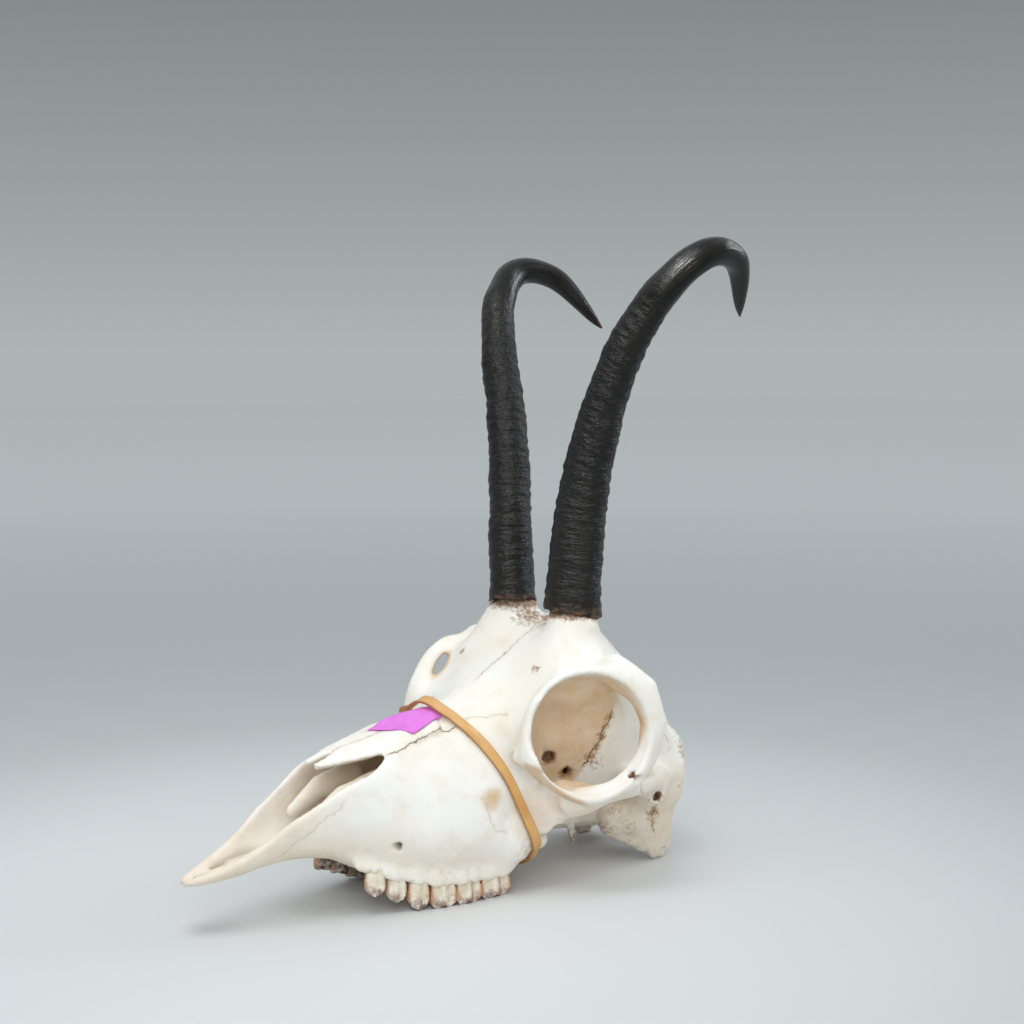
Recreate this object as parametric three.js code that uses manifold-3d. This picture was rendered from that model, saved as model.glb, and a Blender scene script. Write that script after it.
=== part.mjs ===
// A chamois skull with both horn sheaths, its twelve upper cheek teeth, and the rubber band that
// holds a paper label on its nose. Millimetres, +Z up. The snout points along -Y and the animal's
// left side is +X. It stands on z = 0 on its molars and on the two processes behind the ears.
import * as THREE from "three";
import { mergeVertices } from "three/addons/utils/BufferGeometryUtils.js";
import Module from "manifold-3d";

const wasm = await Module();
wasm.setup();

const MIDDLE_Y = 16.3; // how far the middle of the whole length lies behind the skull's own zero
const GRID = 1.5; // spacing of the samples that the bone's surface is drawn from
const GRID_HALF_WIDTH = 45 * GRID; // half the breadth of the sampled space
const BONE_TRIANGLES = 4300;
const GAP = 0.35; // clearance between two separate pieces
const CORE_REACH = 36; // how far the bony core goes up inside a horn sheath
const CORE_BASE_RADIUS = 6.8;
const CORE_TIP_RADIUS = 4.2;
const BAND_WIDTH = 3.8;
const BAND_THICKNESS = 1.1;
const LABEL_THICKNESS = 0.5;
const TOOTH_ROOT = 5; // depth of a root in its socket

// Colours and finishes
const finish = (color, roughness) => new THREE.MeshStandardMaterial({ color, roughness, metalness: 0 });
const BONE = finish("#efe9db", 0.6);
const HORN = finish("#1f1b19", 0.42);
const TOOTH = finish("#d9cdb6", 0.4);
const RUBBER = finish("#d3a263", 0.6);
const PAPER = finish("#df7be0", 0.75);

const vec = (x, y, z) => new THREE.Vector3(x, y, z);
const clamp = THREE.MathUtils.clamp;

// A smooth curve through the values given at rising stations
function along(stations, values) {
  const last = stations.length - 1;
  const slope = values.map((value, i) => {
    if (i === 0) return (values[1] - values[0]) / (stations[1] - stations[0]);
    if (i === last) return (value - values[i - 1]) / (stations[i] - stations[i - 1]);
    const before = stations[i] - stations[i - 1];
    const after = stations[i + 1] - stations[i];
    const rise = before ** 2 * values[i + 1] + (after ** 2 - before ** 2) * value - after ** 2 * values[i - 1];
    return rise / (before * after * (before + after));
  });
  return (where) => {
    const at = clamp(where, stations[0], stations[last]);
    let i = 0;
    while (i < last - 1 && at > stations[i + 1]) i++;
    const step = stations[i + 1] - stations[i];
    const t = (at - stations[i]) / step;
    const t2 = t * t;
    const t3 = t2 * t;
    return (
      (2 * t3 - 3 * t2 + 1) * values[i] +
      (t3 - 2 * t2 + t) * step * slope[i] +
      (3 * t2 - 2 * t3) * values[i + 1] +
      (t3 - t2) * step * slope[i + 1]
    );
  };
}

// The forms that the bone is built from. Each is a function of x, y, z that gives the distance to
// the form's surface, negative inside. They describe the left half, and the right half mirrors it.

// The smaller of two distances, with the crease between them filled over a width of soft
function blend(a, b, soft) {
  const h = Math.max(soft - Math.abs(a - b), 0) / soft;
  return Math.min(a, b) - (h * h * soft) / 4;
}

const merge = (a, b, soft) => (x, y, z) => blend(a(x, y, z), b(x, y, z), soft);
const without = (a, b, soft) => (x, y, z) => -blend(-a(x, y, z), b(x, y, z), soft);

function eggDistance(a, b, c, ra, rb, rc) {
  const k = Math.hypot(a / ra, b / rb, c / rc);
  const slope = Math.hypot(a / ra ** 2, b / rb ** 2, c / rc ** 2);
  return (k * (k - 1)) / Math.max(slope, 1e-6);
}

// An egg with three half-axes, tipped about x and then turned about z
function egg([cx, cy, cz], [rx, ry, rz], tip = 0, turn = 0) {
  const [ct, st] = [Math.cos(tip), Math.sin(tip)];
  const [cu, su] = [Math.cos(turn), Math.sin(turn)];
  return (x, y, z) => {
    const dx = x - cx;
    const dy = (y - cy) * ct + (z - cz) * st;
    const dz = (z - cz) * ct - (y - cy) * st;
    return eggDistance(dx * cu + dy * su, dy * cu - dx * su, dz, rx, ry, rz);
  };
}

function axesAround(normal) {
  const w = normal.clone().normalize();
  const u = vec(0, 0, 1).cross(w).normalize();
  return [u, w.clone().cross(u), w];
}

// A round egg about an axis: the radius across it and the half-length along it
function pit(centre, normal, radius, depth) {
  const [u, v, w] = axesAround(normal);
  const offset = vec(0, 0, 0);
  return (x, y, z) => {
    offset.set(x, y, z).sub(centre);
    return eggDistance(offset.dot(u), offset.dot(v), offset.dot(w), radius, radius, depth);
  };
}

// A ring round an axis, flat times as deep along it as it is thick
function rim(centre, normal, radius, thick, flat) {
  const [u, v, w] = axesAround(normal);
  const offset = vec(0, 0, 0);
  return (x, y, z) => {
    offset.set(x, y, z).sub(centre);
    const out = Math.hypot(offset.dot(u), offset.dot(v)) - radius;
    return Math.hypot(out, offset.dot(w) / flat) - thick;
  };
}

// A bar through points, its radius running through radii. Squashed, it is thinner along a direction.
function bar(points, radii, squashAlong = null, squash = 1) {
  const thin = squashAlong ? vec(...squashAlong).normalize() : vec(1, 0, 0);
  const extra = squash - 1;
  const ease = 1 + 0.5 * extra;
  const stretched = ([x, y, z]) => {
    const p = vec(x, y, z);
    return p.addScaledVector(thin, extra * p.dot(thin));
  };
  const nodes = points.map(stretched);
  return (x0, y0, z0) => {
    const lift = extra * (x0 * thin.x + y0 * thin.y + z0 * thin.z);
    const x = x0 + lift * thin.x;
    const y = y0 + lift * thin.y;
    const z = z0 + lift * thin.z;
    let nearest = Infinity;
    for (let i = 1; i < nodes.length; i++) {
      const a = nodes[i - 1];
      const b = nodes[i];
      const [bx, by, bz] = [b.x - a.x, b.y - a.y, b.z - a.z];
      const reach = ((x - a.x) * bx + (y - a.y) * by + (z - a.z) * bz) / (bx * bx + by * by + bz * bz);
      const h = clamp(reach, 0, 1);
      const away = Math.hypot(x - a.x - h * bx, y - a.y - h * by, z - a.z - h * bz);
      nearest = Math.min(nearest, (away - radii[i - 1] - h * (radii[i] - radii[i - 1])) / ease);
    }
    return nearest;
  };
}

// A body along y. Each row: y, bottom, top, and its half widths at the bottom, middle and top.
function loft(rows, squareBelow = 2.6, squareAbove = squareBelow) {
  const stations = rows.map((row) => row[0]);
  const curves = [1, 2, 3, 4, 5].map((column) => along(stations, rows.map((row) => row[column])));
  let section = [];
  let sectionY = NaN;
  return (x, y, z) => {
    if (y !== sectionY) {
      section = curves.map((curve) => curve(y));
      sectionY = y;
    }
    const [low, high, wLow, wMid, wHigh] = section;
    const half = (high - low) / 2;
    const level = (z - (high + low) / 2) / half;
    const v = clamp(level, -1.3, 1.3);
    const width = Math.max(wMid + (v * (wHigh - wLow)) / 2 + v * v * ((wHigh + wLow) / 2 - wMid), 0.5);
    const square = level < 0 ? squareBelow : squareAbove;
    const k = (Math.abs(x / width) ** square + Math.abs(level) ** square) ** (1 / square);
    const end = Math.max(stations[0] - y, y - stations[stations.length - 1]);
    return -blend(-(k - 1) * Math.min(width, half), -end, 2);
  };
}

// The skull's bones, as one body of clay that forms are added to and cut from in turn
const ORBIT = vec(47.9, 46.2, 60.4);
const ORBIT_AXIS = vec(0.922, -0.351, 0.151).normalize();
const orbitAt = (out) => ORBIT.clone().addScaledVector(ORBIT_AXIS, out);

// Where each horn's core starts and ends
const CORE_FOOT = vec(19.1, 61.1, 101);
const CORE_LEAN = vec(2.4, 0.6, 26).normalize();
const coreAt = (up) => CORE_FOOT.clone().addScaledVector(CORE_LEAN, up);

const clay = [];
const add = (form, soft) => clay.push((d, x, y, z) => blend(d, form(x, y, z), soft));
const cut = (form, soft) => clay.push((d, x, y, z) => -blend(-d, form(x, y, z), soft));

// Face, from the snout to the orbits
const face = loft([
  [-94, 17.6, 30, 3, 3.4, 3],
  [-86, 17.8, 33, 7.2, 7.2, 6],
  [-77, 18.8, 38, 9.4, 9.2, 8],
  [-67, 20.4, 45, 11.2, 11.4, 10.5],
  [-57, 21.4, 54, 12.6, 13.8, 12.5],
  [-47, 20.8, 60, 14.2, 16.6, 15.5],
  [-38, 18.6, 64, 16, 19.4, 16.5],
  [-30, 14.6, 66, 18.5, 22, 16],
  [-24, 12.4, 66, 20.4, 24, 15],
  [-16, 9.8, 65, 23, 26.2, 14],
  [-8, 8, 64.2, 25.6, 28.2, 13.5],
  [2, 6.8, 65, 27.6, 30, 13],
  [12, 6.6, 66.6, 28.4, 30, 12.5],
  [22, 6.2, 69.5, 28.4, 29, 13.5],
  [31, 7.2, 74.5, 27, 27.5, 18],
  [42, 18, 80, 20, 25, 24],
], 3.6, 3);
// The upper edge of the premaxilla and maxilla, beside the nose opening
const noseEdge = along(
  [-94, -86, -77.5, -67, -57, -47, -38, -30, -19, -12, -4, 10],
  [19.6, 21.6, 24.8, 30.2, 37, 42.8, 48, 51.4, 56.4, 60.5, 66, 80],
);
cut((x, y, z) => (noseEdge(y) - z) * 0.85, 1.6);

// Forehead
add(loft([
  [15, 50, 64, 10, 12, 10],
  [22, 48, 68.5, 16, 20, 17],
  [27, 48, 72, 25, 30, 23],
  [32, 48, 76, 33, 39, 28],
  [40, 50, 83, 35, 43, 27],
  [50, 52, 90, 37, 44, 27],
  [60, 52, 94, 37, 43, 26],
  [70, 52, 95, 32, 37, 25],
  [80, 54, 92, 26, 30, 24],
], 2.6, 2.3), 8);
// Cheek under the orbit, with the bone that holds the rear molars
add(merge(bar([[27, 22, 26], [31, 35, 30], [40, 46, 38]], [6, 8, 7]), bar([[25, 24, 16], [23.5, 42, 17]], [5, 3.2]), 6), 8);
// Facial crest, and the hollow of the jaw muscle below it
add(bar([[32, 25.5, 52], [37, 27.5, 53], [42, 30, 51.5]], [1.4, 2.2, 3.4]), 4);
cut(egg([53, 29, 31], [25, 22, 22]), 4);
// Plate of the cheek, from the rear molars out to the arch
add(bar([[25.5, 22, 22], [27, 31, 25], [32.5, 40, 30], [42.5, 48.5, 35.8]], [7.5, 6.8, 5.2, 3.4], [0.8, -0.6, 0], 2.4), 4);

// Nose passage, open above in front of the nasal bones
cut(loft([
  [-92, 20.3, 44, 0.8, 1.2, 1.4],
  [-84, 20.6, 44, 4, 4.2, 4],
  [-77, 21.4, 48, 6.4, 6.6, 6.2],
  [-67, 23, 56, 8.4, 9, 8.6],
  [-57, 23.8, 64, 10.2, 11.6, 11],
  [-47, 23.8, 70, 11.8, 14.4, 13.8],
  [-38, 22.6, 72, 13.4, 16.8, 14.2],
  [-30, 20, 70, 15, 19, 13.6],
  [-22, 18.5, 63, 16.5, 20.6, 11.6],
  [-16, 18, 57.5, 17, 21.6, 9.6],
  [0, 18, 58, 17.5, 23, 10],
  [14, 18, 57, 16, 20, 10],
  [26, 20, 50, 8, 12, 8],
], 3.2), 1.2);

// Nasal bones: a thin roof that ends in two points
const nasalTop = loft([
  [-44, 51.8, 53.8, 2, 5, 3],
  [-39, 51.6, 55, 5.5, 6.6, 5],
  [-32, 52.2, 57, 9, 9.6, 8],
  [-22, 53.8, 59.2, 12.2, 12.6, 9.5],
  [-12, 56, 61.4, 13.2, 14, 10],
  [6, 60, 65.4, 13, 14, 10],
]);
const nasalHollow = loft([
  [-48, 44, 51.8, 2, 3.6, 1.5],
  [-39, 44, 53, 4.5, 5.2, 3.5],
  [-32, 44, 54.8, 8, 8.4, 6],
  [-22, 44, 56.8, 10.5, 11.2, 8],
  [-12, 44, 59, 11.5, 12.2, 8],
  [8, 44, 60.4, 11.5, 12, 7],
]);
const nasalNotch = bar([[0, -48, 54], [0, -38, 54.4], [0, -34, 55.4]], [3.6, 2, 0.6]);
add(without(without(nasalTop, nasalHollow, 0.8), nasalNotch, 1.5), 1);

// Floor of the nose, and the two slits in the palate behind the snout
add(bar([[0, -74, 22.5], [0, -40, 24], [0, 10, 22]], [1.2, 1.6, 2]), 3);
cut(bar([[3.2, -80, 19], [4.6, -66, 22], [4.2, -56, 22]], [0.8, 1.9, 1.2], [0, 0, 1], 0.35), 1);
// Vault of the palate between the tooth rows
cut(loft([
  [-44, 10, 19, 8, 8, 5],
  [-30, 0, 16.5, 11, 12, 7],
  [-10, -6, 15, 15, 16, 9],
  [12, -6, 14.5, 18, 18, 10],
  [28, -6, 15, 18.6, 18.6, 11],
  [40, -6, 17, 19, 18, 12],
  [50, -6, 18, 20, 20, 12],
], 2.4), 3);

// Orbit, and the temporal hollow behind it
add(rim(orbitAt(-1.2), ORBIT_AXIS, 23.2, 1, 1.5), 12);
cut(pit(orbitAt(3), ORBIT_AXIS, 21.6, 31), 1.6);
cut(egg([46, 72, 52], [17, 17, 25]), 5);
// Braincase
add(loft([
  [46, 26, 82, 8, 20, 18],
  [56, 22, 91, 10, 27, 20],
  [66, 20, 95.5, 14, 31, 22],
  [76, 18, 94.5, 18, 33, 22],
  [86, 17, 88, 20, 33.5, 22],
  [96, 16, 77, 20, 33, 20],
  [104, 16, 64, 18, 30, 18],
  [112, 22, 52, 12, 24, 14],
], 2.3), 4);
// Rim of the orbit, and the bar behind it
add(rim(orbitAt(-0.8), ORBIT_AXIS, 23.6, 1.2, 1.8), 7);
add(bar([[44.5, 62, 85], [51, 71.5, 76], [54, 73, 63], [53, 69, 49.5], [51.5, 62, 41.5]], [4.5, 4.8, 3.8, 3.2, 3]), 7);
// Zygomatic arch
add(bar(
  [[40, 44, 34], [48, 52, 37.6], [51, 61, 38.4], [49, 71, 38], [45, 80, 37.4], [37, 87, 36.6]],
  [4.2, 3.2, 2.8, 3, 3.4, 4.5], [1, 0, 0], 1.6,
), 4);
// The rim's sharp inner edge, and the hollow in front of it
cut(pit(orbitAt(1), ORBIT_AXIS, 22.2, 10), 0.5);
cut(egg([46, 15.5, 39], [15, 13.4, 12.5]), 1.5);
add(bar([[34, 78, 36], [33, 90, 34], [27, 100, 36]], [5, 6, 5]), 6);
// Crest of the nape, and the sunken back of the head below it
add(bar([[0, 111, 54], [12, 111.5, 50], [22, 109.5, 44], [27, 106, 36], [28, 103, 27]], [4, 3.2, 3, 3.2, 4.5]), 6);
cut(egg([0, 124, 36], [22, 13, 16]), 5);
// Condyle of the neck joint
add(egg([12.5, 104, 13], [7, 9.5, 9], 0.44, 0.35), 4);
// Bony ear tube
add(bar([[26, 86.5, 26], [35, 89, 29.2]], [4.5, 3.3]), 2.5);
cut(bar([[28, 87.2, 26.8], [38, 89.8, 30]], [1.6, 2]), 0.5);
// The blade behind the ear, which the skull stands on
add(bar([[27, 98, 26], [25.6, 98, 15], [23.4, 101, 6.2]], [9, 8.6, 6.8], [1, 0.15, -0.1], 2.2), 5);
add(bar([[16, 84, 14], [20, 92, 8.5]], [5, 4.2]), 5);
// Base of the braincase, and the ear capsule
add(loft([
  [34, 17, 25, 5, 6, 5],
  [50, 15, 27, 6, 7, 6],
  [66, 13.5, 28, 8, 10, 9],
  [84, 12, 28, 10, 13, 12],
  [100, 10, 28, 12, 14, 12],
  [106, 9, 20, 12, 12, 8],
], 2.4), 6);
add(egg([17, 85, 15.5], [5.4, 8.5, 6], -0.26, 0.35), 3);
add(bar([[21, 80, 21], [24, 88, 18]], [4, 5]), 5);
// Pterygoid plate with its hook, and the channel between the two plates
add(bar([[11, 34, 23], [10, 46, 22.6], [9.6, 60, 22]], [6.4, 5.6, 4.6], [1, 0, 0], 3.2), 2.5);
add(bar([[9.4, 62, 21], [9, 68, 16.5], [9, 69.5, 7.6]], [2.8, 1.9, 0.8]), 2);
cut(loft([
  [22, 6, 22, 6, 6, 5],
  [34, 4, 24, 7.4, 7.4, 6],
  [46, 0, 22, 7.2, 7.4, 5],
  [60, -4, 15.5, 7, 7, 4],
], 2.4), 1.5);
// The great hole at the back, and the brain's hollow that it opens into
cut(bar([[0, 118, 24.5], [0, 104, 25.5], [0, 92, 30]], [8.8, 8.4, 10]), 1.5);
cut(egg([0, 76, 52], [25, 25, 27]), 2);
// Foramen above the orbit with its groove, and the one in the cheek
cut(bar([[24, 39.5, 83.5], [23, 42, 76]], [1.5, 1.3]), 0.8);
cut(bar([[24, 38, 84.5], [23, 28, 76.5], [20, 20, 70.5]], [1.6, 1.8, 1.2]), 2.5);
cut(bar([[26.5, -25, 24.5], [19, -15, 25.5]], [1.8, 1.6]), 0.8);

// Horn pedicle, cut level where the sheath starts, and the core above it
add(bar([[22, 55, 78], [20, 60.2, 93], CORE_FOOT.toArray()], [14, 10.4, 8.6]), 9);
cut((x, y, z) => {
  const below = CORE_FOOT.z - (x - CORE_FOOT.x) * 0.09 - z;
  return Math.max(below, Math.hypot(x - 21, y - 61, z - 112) - 20);
}, 0.8);
add(bar([coreAt(-6).toArray(), coreAt(CORE_REACH - 4).toArray()], [CORE_BASE_RADIUS + 0.7, CORE_TIP_RADIUS + 0.7]), 1);

function bone(x, y, z) {
  const left = Math.abs(x);
  return clay.reduce((d, step) => step(d, left, y, z), face(left, y, z));
}

function outwards(point) {
  const { x, y, z } = point;
  const e = 0.4;
  return vec(
    bone(x + e, y, z) - bone(x - e, y, z),
    bone(x, y + e, z) - bone(x, y - e, z),
    bone(x, y, z + e) - bone(x, y, z - e),
  ).normalize();
}

// The surface of a field, by marching through the six tetrahedra of each cell of a grid.
// Corners of a cell are numbered by bits: 1 for x, 2 for y, 4 for z.
const CELL_TETRAHEDRA = [[0, 1, 3, 7], [0, 1, 7, 5], [0, 2, 7, 3], [0, 2, 6, 7], [0, 4, 5, 7], [0, 4, 7, 6]];
const ONE_INSIDE = [[0, 1, 2, 3], [1, 0, 3, 2], [2, 0, 1, 3], [3, 0, 2, 1]];
const TWO_INSIDE = { 3: [0, 1, 2, 3], 5: [0, 2, 3, 1], 9: [0, 3, 1, 2], 6: [1, 2, 0, 3], 10: [1, 3, 2, 0], 12: [2, 3, 0, 1] };

function surfaceOf(field, low, high, step) {
  const count = low.map((l, axis) => Math.ceil((high[axis] - l) / step) + 1);
  const at = (i, j, k) => (j * count[2] + k) * count[0] + i;
  const values = new Float32Array(count[0] * count[1] * count[2]);
  const middle = (count[0] - 1) / 2;
  for (let j = 0; j < count[1]; j++) {
    for (let k = 0; k < count[2]; k++) {
      for (let i = middle; i < count[0]; i++) {
        const d = field((i - middle) * step, low[1] + j * step, low[2] + k * step);
        const kept = Math.abs(d) < 0.02 ? 0.02 * (d < 0 ? -1 : 1) : d;
        values[at(i, j, k)] = kept;
        values[at(2 * middle - i, j, k)] = kept;
      }
    }
  }
  const corner = [0, 1, 2, 3, 4, 5, 6, 7].map((n) => at(n & 1, (n >> 1) & 1, n >> 2));
  const points = [];
  const triangles = [];
  const made = new Map();
  const crossing = (cell, a, b) => {
    const [from, to] = a < b ? [a, b] : [b, a];
    const key = (cell + corner[from]) * 8 + (to ^ from);
    if (!made.has(key)) {
      const first = cell + corner[from];
      const t = values[first] / (values[first] - values[cell + corner[to]]);
      const i = first % count[0];
      const rest = (first - i) / count[0];
      const k = rest % count[2];
      const j = (rest - k) / count[2];
      const way = to ^ from;
      points.push([
        (i - middle + t * (way & 1)) * step,
        low[1] + (j + t * ((way >> 1) & 1)) * step,
        low[2] + (k + t * (way >> 2)) * step,
      ]);
      made.set(key, points.length - 1);
    }
    return made.get(key);
  };
  for (let j = 0; j < count[1] - 1; j++) {
    for (let k = 0; k < count[2] - 1; k++) {
      for (let i = 0; i < count[0] - 1; i++) {
        const cell = at(i, j, k);
        const inside = corner.map((c) => values[cell + c] < 0);
        if (inside.every(Boolean) || !inside.some(Boolean)) continue;
        for (const tetra of CELL_TETRAHEDRA) {
          const mask = tetra.reduce((m, c, n) => m | (inside[c] << n), 0);
          if (mask === 0 || mask === 15) continue;
          const few = mask === 1 || mask === 2 || mask === 4 || mask === 8;
          if (TWO_INSIDE[mask]) {
            const [a, b, c, d] = TWO_INSIDE[mask].map((n) => tetra[n]);
            const [ac, ad] = [crossing(cell, a, c), crossing(cell, a, d)];
            const [bc, bd] = [crossing(cell, b, c), crossing(cell, b, d)];
            triangles.push([ac, bd, bc], [ac, ad, bd]);
          } else {
            const lone = Math.log2(few ? mask : 15 - mask);
            const [a, b, c, d] = ONE_INSIDE[lone].map((n) => tetra[n]);
            const [ab, ac, ad] = [crossing(cell, a, b), crossing(cell, a, c), crossing(cell, a, d)];
            triangles.push(few ? [ab, ac, ad] : [ab, ad, ac]);
          }
        }
      }
    }
  }
  return { points, triangles };
}

// The same surface with fewer triangles: edges are drawn together in the order of the least harm,
// measured by the squared distances to the planes of the triangles that met there.
class Heap {
  constructor() {
    this.items = [];
  }
  push(item) {
    const items = this.items;
    items.push(item);
    let i = items.length - 1;
    while (i > 0) {
      const up = (i - 1) >> 1;
      if (items[up].cost <= item.cost) break;
      items[i] = items[up];
      i = up;
    }
    items[i] = item;
  }
  pop() {
    const items = this.items;
    const top = items[0];
    const item = items.pop();
    if (!items.length) return top;
    let i = 0;
    for (;;) {
      let down = 2 * i + 1;
      if (down >= items.length) break;
      if (down + 1 < items.length && items[down + 1].cost < items[down].cost) down++;
      if (items[down].cost >= item.cost) break;
      items[i] = items[down];
      i = down;
    }
    items[i] = item;
    return top;
  }
}

function normalOf(a, b, c) {
  const [ux, uy, uz] = [b[0] - a[0], b[1] - a[1], b[2] - a[2]];
  const [vx, vy, vz] = [c[0] - a[0], c[1] - a[1], c[2] - a[2]];
  return [uy * vz - uz * vy, uz * vx - ux * vz, ux * vy - uy * vx];
}

function thinned({ points, triangles }, wanted) {
  const around = points.map(() => []);
  const harm = points.map(() => new Float64Array(10));
  triangles.forEach((triangle, t) => {
    const n = normalOf(...triangle.map((v) => points[v]));
    const area = Math.hypot(...n);
    for (const v of triangle) around[v].push(t);
    if (area < 1e-9) return;
    const [a, b, c] = n.map((m) => m / area);
    const p = points[triangle[0]];
    const d = -(a * p[0] + b * p[1] + c * p[2]);
    const plane = [a * a, a * b, a * c, a * d, b * b, b * c, b * d, c * c, c * d, d * d];
    for (const v of triangle) plane.forEach((m, i) => (harm[v][i] += (m * area) / 6));
  });
  const age = new Int32Array(points.length);
  const gone = new Uint8Array(triangles.length);
  const merged = new Uint8Array(points.length);
  const heap = new Heap();
  const costAt = (q, [x, y, z]) =>
    q[0] * x * x + 2 * q[1] * x * y + 2 * q[2] * x * z + 2 * q[3] * x + q[4] * y * y +
    2 * q[5] * y * z + 2 * q[6] * y + q[7] * z * z + 2 * q[8] * z + q[9];
  const best = (q, a, b) => {
    const det = q[0] * (q[4] * q[7] - q[5] ** 2) - q[1] * (q[1] * q[7] - q[5] * q[2]) + q[2] * (q[1] * q[5] - q[4] * q[2]);
    const mid = a.map((m, i) => (m + b[i]) / 2);
    const options = [mid, a, b];
    const size = q[0] + q[4] + q[7];
    if (det > 1e-5 * size ** 3) {
      const solved = [
        (-q[3] * (q[4] * q[7] - q[5] ** 2) + q[6] * (q[1] * q[7] - q[2] * q[5]) - q[8] * (q[1] * q[5] - q[2] * q[4])) / det,
        (q[3] * (q[1] * q[7] - q[5] * q[2]) - q[6] * (q[0] * q[7] - q[2] ** 2) + q[8] * (q[0] * q[5] - q[1] * q[2])) / det,
        (-q[3] * (q[1] * q[5] - q[4] * q[2]) + q[6] * (q[0] * q[5] - q[1] * q[2]) - q[8] * (q[0] * q[4] - q[1] ** 2)) / det,
      ];
      const far = Math.hypot(...solved.map((m, i) => m - mid[i]));
      const reach = Math.hypot(...a.map((m, i) => m - b[i]));
      if (far < 2 * reach + 0.5) options.push(solved);
    }
    return options.map((p) => ({ p, cost: costAt(q, p) })).reduce((low, o) => (o.cost < low.cost ? o : low));
  };
  const offer = (a, b) => {
    const q = harm[a].map((m, i) => m + harm[b][i]);
    const { p, cost } = best(q, points[a], points[b]);
    const long = (points[a][0] - points[b][0]) ** 2 + (points[a][1] - points[b][1]) ** 2 + (points[a][2] - points[b][2]) ** 2;
    heap.push({ cost: cost + 2e-4 * long, a, b, p, ageA: age[a], ageB: age[b] });
  };
  const neighbours = (v) => new Set(around[v].flatMap((t) => triangles[t]).filter((w) => w !== v));
  const wouldFlip = (v, other, p) => around[v].some((t) => {
    const triangle = triangles[t];
    if (triangle.includes(other)) return false;
    const before = normalOf(...triangle.map((w) => points[w]));
    const after = normalOf(...triangle.map((w) => (w === v ? p : points[w])));
    const [was, is] = [Math.hypot(...before), Math.hypot(...after)];
    if (is < 1e-4) return true;
    return before[0] * after[0] + before[1] * after[1] + before[2] * after[2] < 0.25 * was * is;
  });
  for (const [a, b, c] of triangles) {
    if (a < b) offer(a, b);
    if (b < c) offer(b, c);
    if (c < a) offer(c, a);
  }
  let left = triangles.length;
  while (left > wanted && heap.items.length) {
    const { a, b, p, ageA, ageB } = heap.pop();
    if (merged[a] || merged[b] || age[a] !== ageA || age[b] !== ageB) continue;
    const nearB = neighbours(b);
    const shared = [...neighbours(a)].filter((v) => nearB.has(v));
    if (shared.length !== 2 || shared.some((v) => around[v].length < 4)) continue;
    if (wouldFlip(a, b, p) || wouldFlip(b, a, p)) continue;
    points[a] = p;
    harm[b].forEach((m, i) => (harm[a][i] += m));
    merged[b] = 1;
    for (const t of around[b]) {
      const triangle = triangles[t];
      if (triangle.includes(a)) {
        gone[t] = 1;
        left--;
        for (const v of triangle) if (v !== b) around[v] = around[v].filter((s) => s !== t);
      } else {
        triangle[triangle.indexOf(b)] = a;
        around[a].push(t);
      }
    }
    around[b] = [];
    age[a]++;
    for (const v of neighbours(a)) offer(a, v);
  }
  return { points, triangles: triangles.filter((_, t) => !gone[t]) };
}

// From points and triangles to a solid, and back to a geometry
function geometryOf({ points, triangles }) {
  const geometry = new THREE.BufferGeometry();
  geometry.setAttribute("position", new THREE.Float32BufferAttribute(points.flat(), 3));
  geometry.setIndex(triangles.flat());
  return geometry;
}

function signedVolume({ points, triangles }) {
  const part = ([a, b, c]) => {
    const n = normalOf([0, 0, 0], points[a], points[b]);
    return n[0] * points[c][0] + n[1] * points[c][1] + n[2] * points[c][2];
  };
  return triangles.reduce((sum, triangle) => sum + part(triangle), 0) / 6;
}

function solid(source) {
  const geometry = source.isBufferGeometry ? source.clone() : geometryOf(source);
  for (const name of ["normal", "uv"]) geometry.deleteAttribute(name);
  const merged = mergeVertices(geometry, 1e-4);
  return new wasm.Manifold(new wasm.Mesh({
    numProp: 3,
    vertProperties: merged.attributes.position.array,
    triVerts: new Uint32Array(merged.index.array),
  }));
}

function geometryFrom(manifold) {
  const mesh = manifold.getMesh();
  const geometry = new THREE.BufferGeometry();
  geometry.setAttribute("position", new THREE.BufferAttribute(new Float32Array(mesh.vertProperties), 3));
  geometry.setIndex([...mesh.triVerts]);
  geometry.computeVertexNormals();
  return geometry;
}

const largest = (manifold) => manifold.decompose().reduce((a, b) => (b.volume() > a.volume() ? b : a));

// Rings of points with the same count, skinned into one closed solid that faces out
function skinned(rings, looped = false) {
  const size = rings[0].length;
  const points = rings.flat().map((p) => p.toArray());
  const triangles = [];
  const steps = looped ? rings.length : rings.length - 1;
  for (let r = 0; r < steps; r++) {
    const next = ((r + 1) % rings.length) * size;
    for (let i = 0; i < size; i++) {
      const j = (i + 1) % size;
      triangles.push([r * size + i, r * size + j, next + j], [r * size + i, next + j, next + i]);
    }
  }
  if (!looped) {
    for (const [r, turn] of [[0, 1], [rings.length - 1, -1]]) {
      const centre = rings[r].reduce((sum, p) => sum.add(p), vec(0, 0, 0)).divideScalar(size);
      if (rings[r].capLift) centre.z += rings[r].capLift;
      points.push(centre.toArray());
      for (let i = 0; i < size; i++) {
        const pair = [r * size + i, r * size + ((i + 1) % size)];
        triangles.push(turn > 0 ? [pair[1], pair[0], points.length - 1] : [...pair, points.length - 1]);
      }
    }
  }
  const body = { points, triangles };
  if (signedVolume(body) < 0) triangles.forEach((triangle) => triangle.reverse());
  return body;
}

const mirrored = (point) => vec(-point.x, point.y, point.z);

// A round ring across a line, from an upright first direction
function ringAcross(centre, tangent, long, halfLong, halfShort, count) {
  const u = long.clone().addScaledVector(tangent, -long.dot(tangent)).normalize();
  const v = tangent.clone().cross(u);
  return Array.from({ length: count }, (_, i) => {
    const angle = (2 * Math.PI * i) / count;
    return centre.clone().addScaledVector(u, halfLong * Math.cos(angle)).addScaledVector(v, halfShort * Math.sin(angle));
  });
}

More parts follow.
